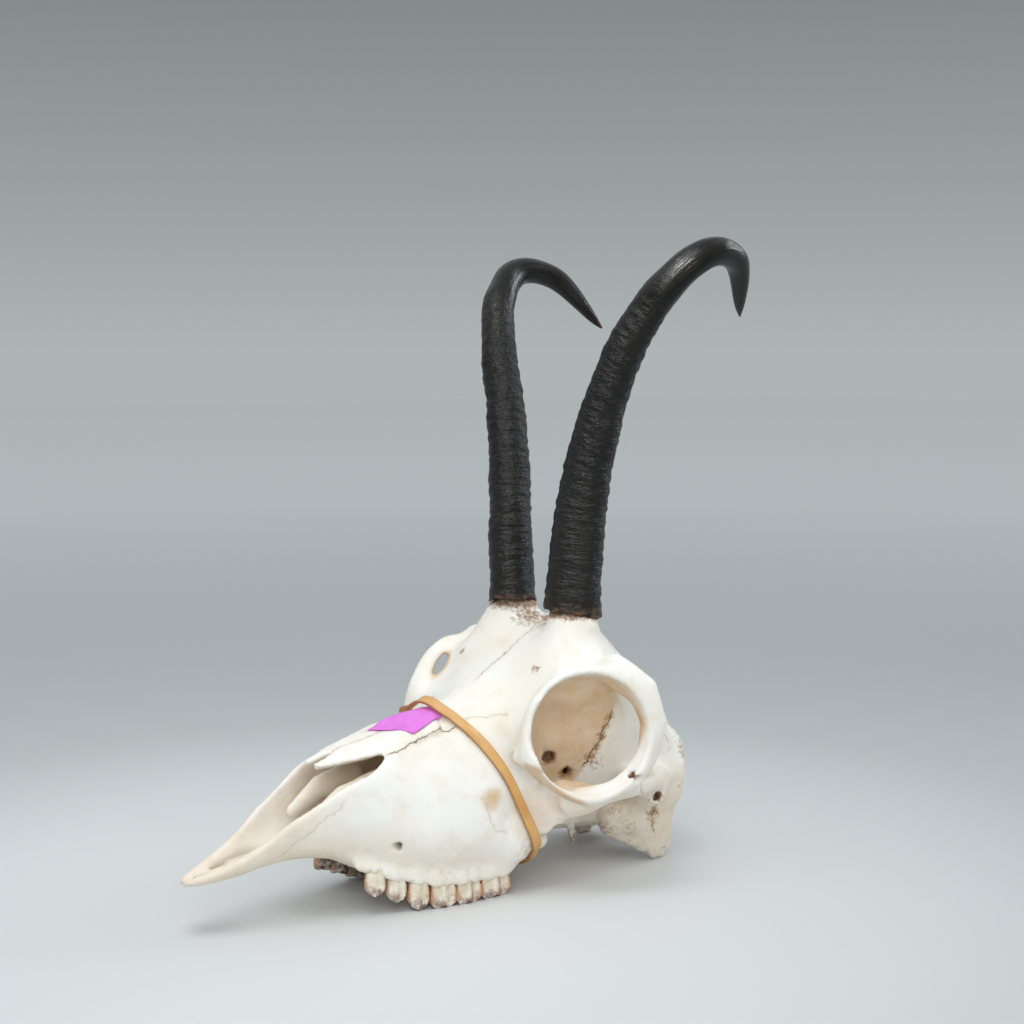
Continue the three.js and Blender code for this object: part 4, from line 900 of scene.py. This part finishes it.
# Keratin, black and grown in layers: the rubbed hook shines, the lower part is duller, and the
# edges of its flakes are worn grey. The stripes are really hair fine. They and the finest rings are
# drawn near a millimetre apart, because they wouldn't show.
keratin, tree, shader = new_material("black_horn_keratin")
wrap = node(tree, "Attribute", out="Vector", attribute_name="wrap")
round_horn = node(tree, "Mapping", {"Vector": wrap, "Scale": (0.25, 0.25, 1.0)})
up_horn = node(tree, "Mapping", {"Vector": wrap, "Scale": (1.0, 1.0, 0.05)})
# Each noise: what it lies on, the size of its clouds in millimetres, its detail and its roughness
noises = []
for seed, (under, size, detail, rough) in enumerate((
    (round_horn, 1.5, 4.0, 0.65),
    (wrap, 2.2, 4.0, 0.7),
    (up_horn, 0.9, 3.0, 0.6),
    (wrap, 14, 3.0, 0.5),
)):
    moved = node(tree, "VectorMath", [under, (seed, seed * 0.7, -seed)], operation="ADD")
    clouding = {"Vector": moved, "Scale": 1000 / size, "Detail": detail, "Roughness": rough}
    noises.append(node(tree, "TexNoise", clouding))
rings, flakes, stripes, clouds = noises

rough_here = node(tree, "Attribute", out="Fac", attribute_name="rough")
fewer_below = node(tree, "MapRange", [rough_here, 0.0, 1.0, 1.0, 0.2])
striped = node(tree, "MapRange", [stripes, 0.5, 0.75, 0.0, 0.5])
striped = node(tree, "Math", [striped, fewer_below], operation="MULTIPLY")
flake_edges = node(tree, "MapRange", [flakes, 0.56, 0.70, 0.0, 0.55])
ring_edges = node(tree, "MapRange", [rings, 0.50, 0.62])
worn = node(tree, "Math", [flake_edges, ring_edges], operation="MULTIPLY")
worn = node(tree, "Math", [worn, rough_here], operation="MULTIPLY")
rim_here = node(tree, "Attribute", out="Fac", attribute_name="rim")
frayed = node(tree, "MapRange", [flakes, 0.42, 0.62, 0.0, 0.7])
frayed = node(tree, "Math", [rim_here, frayed], operation="MULTIPLY")
tip_here = node(tree, "Attribute", out="Fac", attribute_name="tip")
colour = paint("#090807")
for amount, code in (
    (node(tree, "MapRange", [clouds, 0.35, 0.7]), "#120f0d"),
    (striped, "#3a322d"),
    (worn, "#6a5f57"),
    (frayed, "#7a5a3c"),
    (node(tree, "Math", [tip_here, 0.6], operation="MULTIPLY"), "#6b3a1c"),
):
    colour = node(tree, "Mix", {0: amount, 6: colour, 7: paint(code)}, out=2, data_type="RGBA")
tree.links.new(colour, shader.inputs["Base Color"])
rubbed = node(tree, "MapRange", [flakes, 0.35, 0.65, 0.17, 0.27])
dull = node(tree, "Math", [rough_here, 0.12, rubbed], operation="MULTIPLY_ADD")
tree.links.new(dull, shader.inputs["Roughness"])
shader.inputs["IOR"].default_value = 1.38
coarse = node(tree, "Math", [flakes, 0.5], operation="MULTIPLY")
coarse = node(tree, "Math", [rings, 1.6, coarse], operation="MULTIPLY_ADD")
coarse = node(tree, "Math", [coarse, rough_here], operation="MULTIPLY")
stripe_height = node(tree, "MapRange", [rough_here, 0.0, 1.0, 0.30, 0.12])
height = node(tree, "Math", [stripes, stripe_height, coarse], operation="MULTIPLY_ADD")
bump = node(tree, "Bump", {"Height": height, "Distance": 0.001, "Strength": 0.8})
tree.links.new(bump, shader.inputs["Normal"])


def look_up(t, steps, field):
    """The rows of a table of vectors, read at t between its steps."""
    return np.stack([np.interp(t, steps, field[:, axis]) for axis in range(3)], -1)


for name, side, line in HORNS:
    centre_at, reach = smooth_line(line)
    steps = np.linspace(0, 1, 801)
    middle = centre_at(steps)
    tangent = np.gradient(middle, axis=0)
    tangent /= np.linalg.norm(tangent, axis=1, keepdims=True)
    long_way = np.zeros_like(tangent)
    way = np.array((0.59 * side, 0.81, 0.0))
    for i, t in enumerate(tangent):
        way = way - t * (way @ t)
        way /= np.linalg.norm(way)
        long_way[i] = way
    short_way = np.cross(tangent, long_way)

    def sheath(u, v):
        """Up the inside of the socket's lining first, then over the rim and up to the tip."""
        angle = 2 * np.pi * u
        inside = v < SOCKET_SHARE
        t = np.where(inside, 0, (v - SOCKET_SHARE) / (1 - SOCKET_SHARE))
        t = np.clip(t, 0, 1)
        c, l, s, w = [look_up(t, steps, field) for field in (middle, long_way, short_way, tangent)]
        wrap_at = np.stack([9 * np.cos(angle), 9 * np.sin(angle), t * reach], -1)
        ringed = np.clip((0.66 - t) / 0.12, 0, 1)
        phase = t * reach / RING_SPACING + 0.35 * lumps(wrap_at, 30, 11) + 0.12 * np.sin(angle + 1)
        ring = 0.26 * np.sin(np.pi * (phase % 1.0) ** 0.7) ** 2 - 0.08
        fine = 0.10 * lumps(wrap_at * (0.35, 0.35, 1.0), 2.4, 12, 40) + 0.08 * lumps(wrap_at, 2.2, 13, 40)
        swell = ringed * (ring + fine) + (1 - ringed) * 0.03 * lumps(wrap_at * (1, 1, 0.1), 3.0, 14)
        swell = swell + 0.18 * lumps(wrap_at, 16, 15) * np.clip((1 - t) / 0.3, 0, 1)
        ragged = np.clip(1 - t * reach / 5, 0, 1)
        swell = swell + ragged * (0.45 + 0.3 * lumps(wrap_at, 3.0, 16, 40))
        a, b = half_long(t) + swell, half_short(t) + swell
        skin_at = c + l * (a * np.cos(angle))[:, None] + s * (b * np.sin(angle))[:, None]
        hang = np.clip(np.cos(angle - 0.5 * side), 0, 1)
        longest = 3.6 if side > 0 else 1.2
        drop = ragged * (0.35 + 0.75 * lumps(wrap_at * (1, 1, 0), 4.5, 17, 40) + longest * hang)
        skin_at -= w * np.maximum(drop, -0.6)[:, None]
        # Inside: the rim turns in to the core and the socket runs up it to a closed end
        q = np.clip(v / SOCKET_SHARE, 0, 1)
        up_core = np.clip((1 - q) * 1.25 - 0.1, 0, 1) * SOCKET_DEPTH
        closing = np.clip((q - 0.02) / 0.06, 0, 1)
        radius = (6.8 - 2.6 * up_core / 36 + 0.45) * closing
        foot = CORE_FOOT + (0, 0, 0.6) + np.outer(up_core, CORE_LEAN)
        foot[:, 0] *= side
        inner = foot + l * (radius * np.cos(angle))[:, None] + s * (radius * np.sin(angle))[:, None]
        return np.where(inside[:, None], inner, skin_at)
    horn = sheet(name, SHEATH_SIDES, SHEATH_RINGS, sheath)
    mesh = horn.data
    points = millimetres(mesh)
    close = np.array([np.argmin(((middle[::4] - p) ** 2).sum(1)) * 4 for p in points])
    t = steps[close]
    # A few rounds find the place along the middle line that each point stands beside
    for _ in range(5):
        off = points - look_up(t, steps, middle)
        t_fine = t + (off * look_up(t, steps, tangent)).sum(1) / reach
        t = np.clip(t_fine, 0, 1)
    across_short = (off * look_up(t, steps, short_way)).sum(1) / half_short(t)
    across_long = (off * look_up(t, steps, long_way)).sum(1) / half_long(t)
    angle = np.arctan2(across_short, across_long)
    store(mesh, "wrap", np.stack([9 * np.cos(angle), 9 * np.sin(angle), t_fine * reach], 1) / 1000)
    store(mesh, "rough", np.clip((0.68 - t) / 0.16, 0, 1))
    store(mesh, "rim", np.clip(1 - t_fine * reach / 3.0, 0, 1))
    store(mesh, "tip", np.clip((t - 0.985) / 0.012, 0, 1))
    mesh.materials.append(keratin)
    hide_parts(name)

# Cheek teeth
# Twelve teeth of worn enamel, three small premolars and three two-lobed molars each side, with their
# roots in the sockets. Ridges run down the outer faces, and the chewing side has crescent pits.
PREMOLAR_OUTLINE = [
    (0.45, -1), (0.78, -0.72), (1, -0.1), (0.72, 0.3), (0.86, 0.72), (0.5, 1), (-0.1, 0.95), (-0.6, 0.75),
    (-0.92, 0.35), (-1, 0), (-0.92, -0.4), (-0.6, -0.8), (-0.1, -0.98),
]
PREMOLAR_TIPS = [2.2, 1.0, 0, 0.3, 1.1, 2.2, 2.0, 1.5, 1.0, 0.9, 1.2, 1.7, 2.2]
MOLAR_OUTLINE = [
    (0.8, -1), (0.66, -0.55), (1, -0.04), (0.66, 0.5), (0.8, 0.98), (0, 1), (-0.72, 0.86),
    (-1, 0.5), (-0.8, 0.16), (-0.5, 0), (-0.8, -0.16), (-1, -0.5), (-0.72, -0.86), (0, -1),
]
MOLAR_TIPS = [1.7, 0, 1.5, 0, 1.7, 2, 1.4, 0.8, 1.5, 2, 1.5, 0.8, 1.4, 2]


def looped_values(values, u):
    """Values on a closed ring, read smoothly at 0 to 1 round it."""
    v = np.array(values, float)
    at = (u % 1.0) * len(v)
    i = np.floor(at).astype(int) % len(v)
    t = at - np.floor(at)
    a, b, c, d = v[i - 1], v[i], v[(i + 1) % len(v)], v[(i + 2) % len(v)]
    return b + 0.5 * t * (c - a + t * (2 * a - 5 * b + 4 * c - d + t * (3 * (b - c) + d - a)))


# Enamel, worn by chewing: cream and glossy like glazed china, with violet brown stains on the
# lower half, rust brown between the teeth, painted shade down the groove between the lobes of the back two
# molars, and near black on the inner side.
enamel, tree, shader = new_material("worn_tooth_enamel")
place = node(tree, "TexCoord", out="Object")
# Each noise: the size of its clouds in millimetres, its detail and its roughness
noises = []
for seed, (size, detail, rough) in enumerate(((3.0, 3.0, 0.6), (0.9, 3.0, 0.6))):
    moved = node(tree, "VectorMath", [place, (seed, seed * 0.7, -seed)], operation="ADD")
    clouding = {"Vector": moved, "Scale": 1000 / size, "Detail": detail, "Roughness": rough}
    noises.append(node(tree, "TexNoise", clouding))
patches, specks = noises
crown = node(tree, "Attribute", out="Vector", attribute_name="crown")
down, inner, gap_stain_and_groove_shade = node(tree, "SeparateXYZ", [crown]).node.outputs
low_part = node(tree, "MapRange", [down, 0.30, 0.72])
tip_part = node(tree, "MapRange", [down, 0.55, 0.95])
colour = paint("#f0e9da")
# Each stain: where it lies, the noise that breaks it up with its range, least and most, and its colour
for there, pattern, low, high, least, most, code in (
    (1.0, patches, 0.35, 0.7, 0.0, 1.0, "#dccdb0"),
    (low_part, patches, 0.42, 0.56, 0.0, 0.8, "#8d6a6c"),
    (tip_part, specks, 0.5, 0.66, 0.0, 0.8, "#4a2f2c"),
    # rust brown between the teeth, and painted shade down the groove of the back two molars
    (gap_stain_and_groove_shade, specks, 0.3, 0.6, 0.5, 1.0, "#b4713a"),
    (inner, patches, 0.3, 0.55, 0.0, 0.95, "#3d2418"),
):
    broken = node(tree, "MapRange", [pattern, low, high, least, most])
    amount = node(tree, "Math", [there, broken], operation="MULTIPLY")
    colour = node(tree, "Mix", {0: amount, 6: colour, 7: paint(code)}, out=2, data_type="RGBA")
tree.links.new(colour, shader.inputs["Base Color"])
tree.links.new(node(tree, "MapRange", [patches, 0.3, 0.7, 0.28, 0.5]), shader.inputs["Roughness"])
shader.inputs["IOR"].default_value = 1.62
height = node(tree, "Math", [patches, 0.3], operation="MULTIPLY")
height = node(tree, "Math", [specks, 0.25, height], operation="MULTIPLY_ADD")
bump = node(tree, "Bump", {"Height": height, "Distance": 0.001, "Strength": 0.4})
tree.links.new(bump, shader.inputs["Normal"])

for side, side_name in ((1, "left"), (-1, "right")):
    for kind, x0, y0, length, width, turn, gum, tip in TEETH:
        molar = kind.startswith("molar")
        outline = MOLAR_OUTLINE if molar else PREMOLAR_OUTLINE
        tips = MOLAR_TIPS if molar else PREMOLAR_TIPS
        # From the root's end to the middle of the chewing side: its size, and its height as a share
        # of the way from the tips up to the gum
        stops = (0, 0.04, 0.16, 0.24, 0.34, 0.5, 0.66, 0.72, 0.78, 1)
        size_at = along(stops, (0, 0.5, 0.62, 0.86, 0.97, 1.02, 0.99, 0.92, 0.78, 0))
        rise_at = along(stops[:8], (1, 1, 1, 1, 0.88, 0.5, 0.12, 0))

        def tooth_shape(u, v):
            """Round the outline, and from the root's end down over the sides to the chewing side."""
            across = looped_values([p[0] for p in outline], u)
            back = looped_values([p[1] for p in outline], u)
            rim_tip = tip + looped_values(tips, u)
            size = size_at(v)
            ribbed = np.clip((across - 0.2) * 2, 0, 1) * (v > 0.3) * (v < 0.75)
            rib = 1 + 0.035 * np.cos(2 * np.pi * u * 14) * ribbed
            dx = across * size * rib * width / 2 - width / 2
            dy = back * size * rib * length / 2
            root = np.clip((0.30 - v) / 0.26, 0, 1) * 4.4
            z = rim_tip + (gum - rim_tip) * rise_at(v) + root
            # Chewing side: it dips towards the middle, with a crescent pit in each lobe
            chew = v > 0.72
            r = np.clip(size / 0.9, 0, 1)
            a, b = across * size, back * size
            lobes = (-0.5, 0.5) if molar else (0.0,)
            pit_here = cusp = 0
            for lobe in lobes:
                bend = a - 0.05 - 0.5 * (b - lobe) ** 2
                pit_here = pit_here + np.exp(-((b - lobe) / 0.24) ** 2 - (bend / 0.15) ** 2)
                cusp = cusp + np.exp(-((b - lobe) / 0.3) ** 2 - ((a - 0.5) / 0.2) ** 2)
            floor_z = tip + (1.5 if molar else 1.3) + 1.1 * pit_here - 0.7 * cusp
            z = np.where(chew, rim_tip * r ** 2 + floor_z * (1 - r ** 2), z)
            z = np.maximum(z, 0.02)
            x = x0 + dx * np.cos(turn) + dy * np.sin(turn)
            y = y0 + dy * np.cos(turn) - dx * np.sin(turn)
            return np.stack([x * side, y, z], -1)
        tooth = sheet(f"{kind}_{side_name}", 70, 56, tooth_shape)
        mesh = tooth.data
        points = millimetres(mesh)
        px, py, pz = points[:, 0] * side - x0, points[:, 1] - y0, points[:, 2]
        local_x = px * np.cos(turn) - py * np.sin(turn)
        local_y = py * np.cos(turn) + px * np.sin(turn)
        down = np.clip((gum - pz) / (gum - tip), 0, 1)
        inner = np.clip((-local_x - width * 0.55) / (width * 0.3), 0, 1)
        gap_stain_and_groove_shade = np.clip((np.abs(local_y) - length * 0.40) / (length * 0.08), 0, 1) * np.clip(1.3 - down, 0, 1)
        if kind in ("molar_2", "molar_3"):
            # Painted shade: a dark groove down between the two lobes, drawn in the rust brown of the gaps
            # rather than modelled
            between = np.exp(-((local_y - 0.10 * length) / (0.055 * length)) ** 2)
            gap_stain_and_groove_shade = np.maximum(gap_stain_and_groove_shade, 0.9 * between * (local_x > -0.35 * width))
        store(mesh, "crown", np.stack([down, inner, gap_stain_and_groove_shade], 1))
        mesh.materials.append(enamel)
        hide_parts(f"{kind}_{side_name}")

# Paper label
# A bare slip of violet paper, lying on the nasal bones with one end held under the band. It follows
# the bone that it lies on.
LABEL_CORNERS = np.array([(-5.2, -15.6), (12.8, -7.0), (7, 11.2), (-11.4, 3.2)], float)
LABEL_OFF_BONE = 0.6
LABEL_THICKNESS = 0.30


def roof_height(x, y, off):
    """How high a sheet lies that is laid on the bone from above and stands off it a little."""
    low, high = np.full_like(x, 50.0), np.full_like(x, 90.0)
    for _ in range(24):
        middle = (low + high) / 2
        inside = bone(x, y, middle) < off
        low, high = np.where(inside, middle, low), np.where(inside, high, middle)
    return low


def label_shape(u, v):
    """The slip, seen from above between its four corners, and laid on the bone."""
    a, b, c, d = LABEL_CORNERS
    flat = np.outer((1 - u) * (1 - v), a) + np.outer(u * (1 - v), b)
    flat = flat + np.outer(u * v, c) + np.outer((1 - u) * v, d)
    z = roof_height(flat[:, 0], flat[:, 1], LABEL_OFF_BONE)
    return np.stack([flat[:, 0], flat[:, 1], z], -1)


label = sheet("paper_label", 36, 36, label_shape, welded=False)
body = bmesh.new()
body.from_mesh(label.data)
if sum(f.normal.z for f in body.faces) > 0:
    bmesh.ops.reverse_faces(body, faces=body.faces)
bmesh.ops.solidify(body, geom=body.faces[:], thickness=-LABEL_THICKNESS / 1000)
body.to_mesh(label.data)
body.free()

# Dyed paper, pressed from pulp: an even, dull violet with faint pale flecks and no shine. Its
# fibres are really a fiftieth of a millimetre thick, and the flecks are coarser so that they show.
violet, tree, shader = new_material("violet_label_paper")
place = node(tree, "TexCoord", out="Object")
# Each noise: the size of its clouds in millimetres, its detail and its roughness
noises = []
for seed, (size, detail, rough) in enumerate(((0.7, 3.0, 0.6), (6, 2.0, 0.5))):
    moved = node(tree, "VectorMath", [place, (seed, seed * 0.7, -seed)], operation="ADD")
    clouding = {"Vector": moved, "Scale": 1000 / size, "Detail": detail, "Roughness": rough}
    noises.append(node(tree, "TexNoise", clouding))
fibres, clouds = noises
colour = paint("#e784e8")
for amount, code in (
    (node(tree, "MapRange", [clouds, 0.3, 0.7]), "#dc74dd"),
    (node(tree, "MapRange", [fibres, 0.55, 0.75, 0.0, 0.25]), "#f0a6f0"),
):
    colour = node(tree, "Mix", {0: amount, 6: colour, 7: paint(code)}, out=2, data_type="RGBA")
tree.links.new(colour, shader.inputs["Base Color"])
shader.inputs["Roughness"].default_value = 0.75
bump = node(tree, "Bump", {"Height": fibres, "Distance": 0.0001, "Strength": 0.5})
tree.links.new(bump, shader.inputs["Normal"])
label.data.materials.append(violet)
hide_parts("paper_label")

# Rubber band
# A flat loop of tan natural rubber, cut from a tube, so its edges are square and a little darker.
# It is stretched over the nose, down behind the last molars and across below the palate.
BAND_LINE = [
    (0, 7.4, 66), (5.3, 9.6, 66), (9.8, 11.9, 64.6), (14.2, 14.6, 61.6), (18.3, 17.6, 56.8),
    (22, 20.4, 52.2), (25, 22.8, 48), (26.9, 25, 42.6), (28.2, 26.8, 37.8), (28.9, 28.5, 32.2),
    (29.3, 30.4, 27.2), (28.8, 32, 22), (27, 33.4, 17.8), (23.4, 34.4, 14.4), (12, 34.6, 12),
    (0, 34.6, 11.6), (-12, 34.6, 12), (-23.4, 34.4, 14.4),
    (-27, 33.2, 17.8), (-28.8, 30.6, 22), (-29.3, 26.6, 28), (-28.2, 22.4, 36), (-25.6, 17, 44.5),
    (-21.6, 11.6, 52.8), (-17.2, 6.6, 59.4), (-13, 3.2, 63.4), (-9.3, 3.8, 64.8), (-4, 5.6, 66),
]
BAND_WIDTH = 3.8
BAND_THICKNESS = 1.1
BAND_STEPS = 260

loop_at, _ = smooth_line(BAND_LINE, looped=True)
stations = loop_at(np.arange(BAND_STEPS) / BAND_STEPS)


def evened(values, reach):
    """Values round the closed band, each averaged with its neighbours."""
    spread = np.exp(-(np.arange(-3 * reach, 3 * reach + 1) / reach) ** 2)
    wide = np.concatenate([values[-3 * reach:], values, values[:3 * reach]])
    columns = [np.convolve(column, spread / spread.sum(), "valid") for column in wide.T]
    return np.stack(columns, 1)


def lift_at(points):
    """How far the band's middle lies off the bone, further where the label is below it."""
    on_label = np.clip((points[:, 2] - 57) / 2, 0, 1) * np.clip((13.5 - np.abs(points[:, 0])) / 2, 0, 1)
    return 0.7 + 0.55 * on_label


# The band is pressed out of the bone and evened, except where it hangs free below the palate
free = stations[:, 2] < 14.5
way_out = outwards(stations)
way_out[free] = (0, 0, -1)
for _ in range(4):
    short = lift_at(stations) - bone(*stations.T)
    stations[~free] += way_out[~free] * short[~free][:, None]
for _ in range(12):
    stations = evened(stations, 7)
    short = np.maximum(lift_at(stations) - bone(*stations.T), 0)
    stations += way_out * short[:, None]
from_middle = stations - (0, 22, 38)
from_middle /= np.linalg.norm(from_middle, axis=1, keepdims=True)
even = evened(way_out, 9)
even = even / np.linalg.norm(even, axis=1, keepdims=True) + 0.35 * from_middle
tangent = np.roll(stations, -1, 0) - np.roll(stations, 1, 0)
tangent /= np.linalg.norm(tangent, axis=1, keepdims=True)
across = np.cross(tangent, even)
across /= np.linalg.norm(across, axis=1, keepdims=True)
outward = np.cross(across, tangent)
rows = []
for way in np.linspace(-1, 1, 7):
    edge = stations + across * (way * BAND_WIDTH / 2)
    for _ in range(6):
        rise = np.maximum(lift_at(edge) - bone(*edge.T), 0)
        edge += evened(outward * rise[:, None], 3) * 1.2
    rows.append(edge)
rows = np.array(rows)


def band_shape(u, v):
    """Round the section: out along the inner side, over the edge, and back along the outer side."""
    at = (v * BAND_STEPS) % BAND_STEPS
    i = np.floor(at).astype(int) % BAND_STEPS
    t = (at - np.floor(at))[:, None]
    lap = (u % 1.0) * 4
    side = np.interp(lap, (0, 1.8, 2, 3.8, 4), (-1, 1, 1, -1, -1))
    rise = np.interp(lap, (0, 1.8, 2, 3.8, 4), (0, 0, 1, 1, 0))
    corner = 1 - 0.06 * (np.abs(side) > 0.97) * (np.abs(rise - 0.5) > 0.4)
    spot = (side * corner + 1) * 3
    j = np.clip(np.floor(spot).astype(int), 0, 5)
    f = (spot - j)[:, None]
    low = rows[j, i] * (1 - f) + rows[j + 1, i] * f
    k = (i + 1) % BAND_STEPS
    next_low = rows[j, k] * (1 - f) + rows[j + 1, k] * f
    out_now = outward[i] * (1 - t) + outward[k] * t
    return low * (1 - t) + next_low * t + out_now * (rise * BAND_THICKNESS)[:, None]


rubber_band = sheet("rubber_band", 40, BAND_STEPS, band_shape)
# Natural rubber, cast in a tube and cut: tan and half matt, a little cloudy with a pale bloom of
# dust, and darker along the cut edges.
latex, tree, shader = new_material("tan_natural_rubber")
place = node(tree, "TexCoord", out="Object")
# Each noise: the size of its clouds in millimetres, its detail and its roughness
noises = []
for seed, (size, detail, rough) in enumerate(((8, 3.0, 0.5), (0.8, 3.0, 0.6))):
    moved = node(tree, "VectorMath", [place, (seed, seed * 0.7, -seed)], operation="ADD")
    clouding = {"Vector": moved, "Scale": 1000 / size, "Detail": detail, "Roughness": rough}
    noises.append(node(tree, "TexNoise", clouding))
clouds, dust = noises
edge_here = node(tree, "Attribute", out="Fac", attribute_name="edge")
colour = paint("#dfb072")
for amount, code in (
    (node(tree, "MapRange", [clouds, 0.3, 0.7]), "#cf9a58"),
    (node(tree, "MapRange", [dust, 0.55, 0.75, 0.0, 0.25]), "#e9c695"),
    (node(tree, "Math", [edge_here, 0.75], operation="MULTIPLY"), "#9c6a31"),
):
    colour = node(tree, "Mix", {0: amount, 6: colour, 7: paint(code)}, out=2, data_type="RGBA")
tree.links.new(colour, shader.inputs["Base Color"])
shader.inputs["Roughness"].default_value = 0.5
bump = node(tree, "Bump", {"Height": dust, "Distance": 0.0002, "Strength": 0.4})
tree.links.new(bump, shader.inputs["Normal"])

mesh = rubber_band.data
points = millimetres(mesh)
close = np.array([np.argmin(((stations - p) ** 2).sum(1)) for p in points])
sideways = np.abs(((points - stations[close]) * across[close]).sum(1))
store(mesh, "edge", np.clip((sideways - BAND_WIDTH / 2 + 0.35) / 0.3, 0, 1))
mesh.materials.append(latex)
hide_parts("rubber_band")
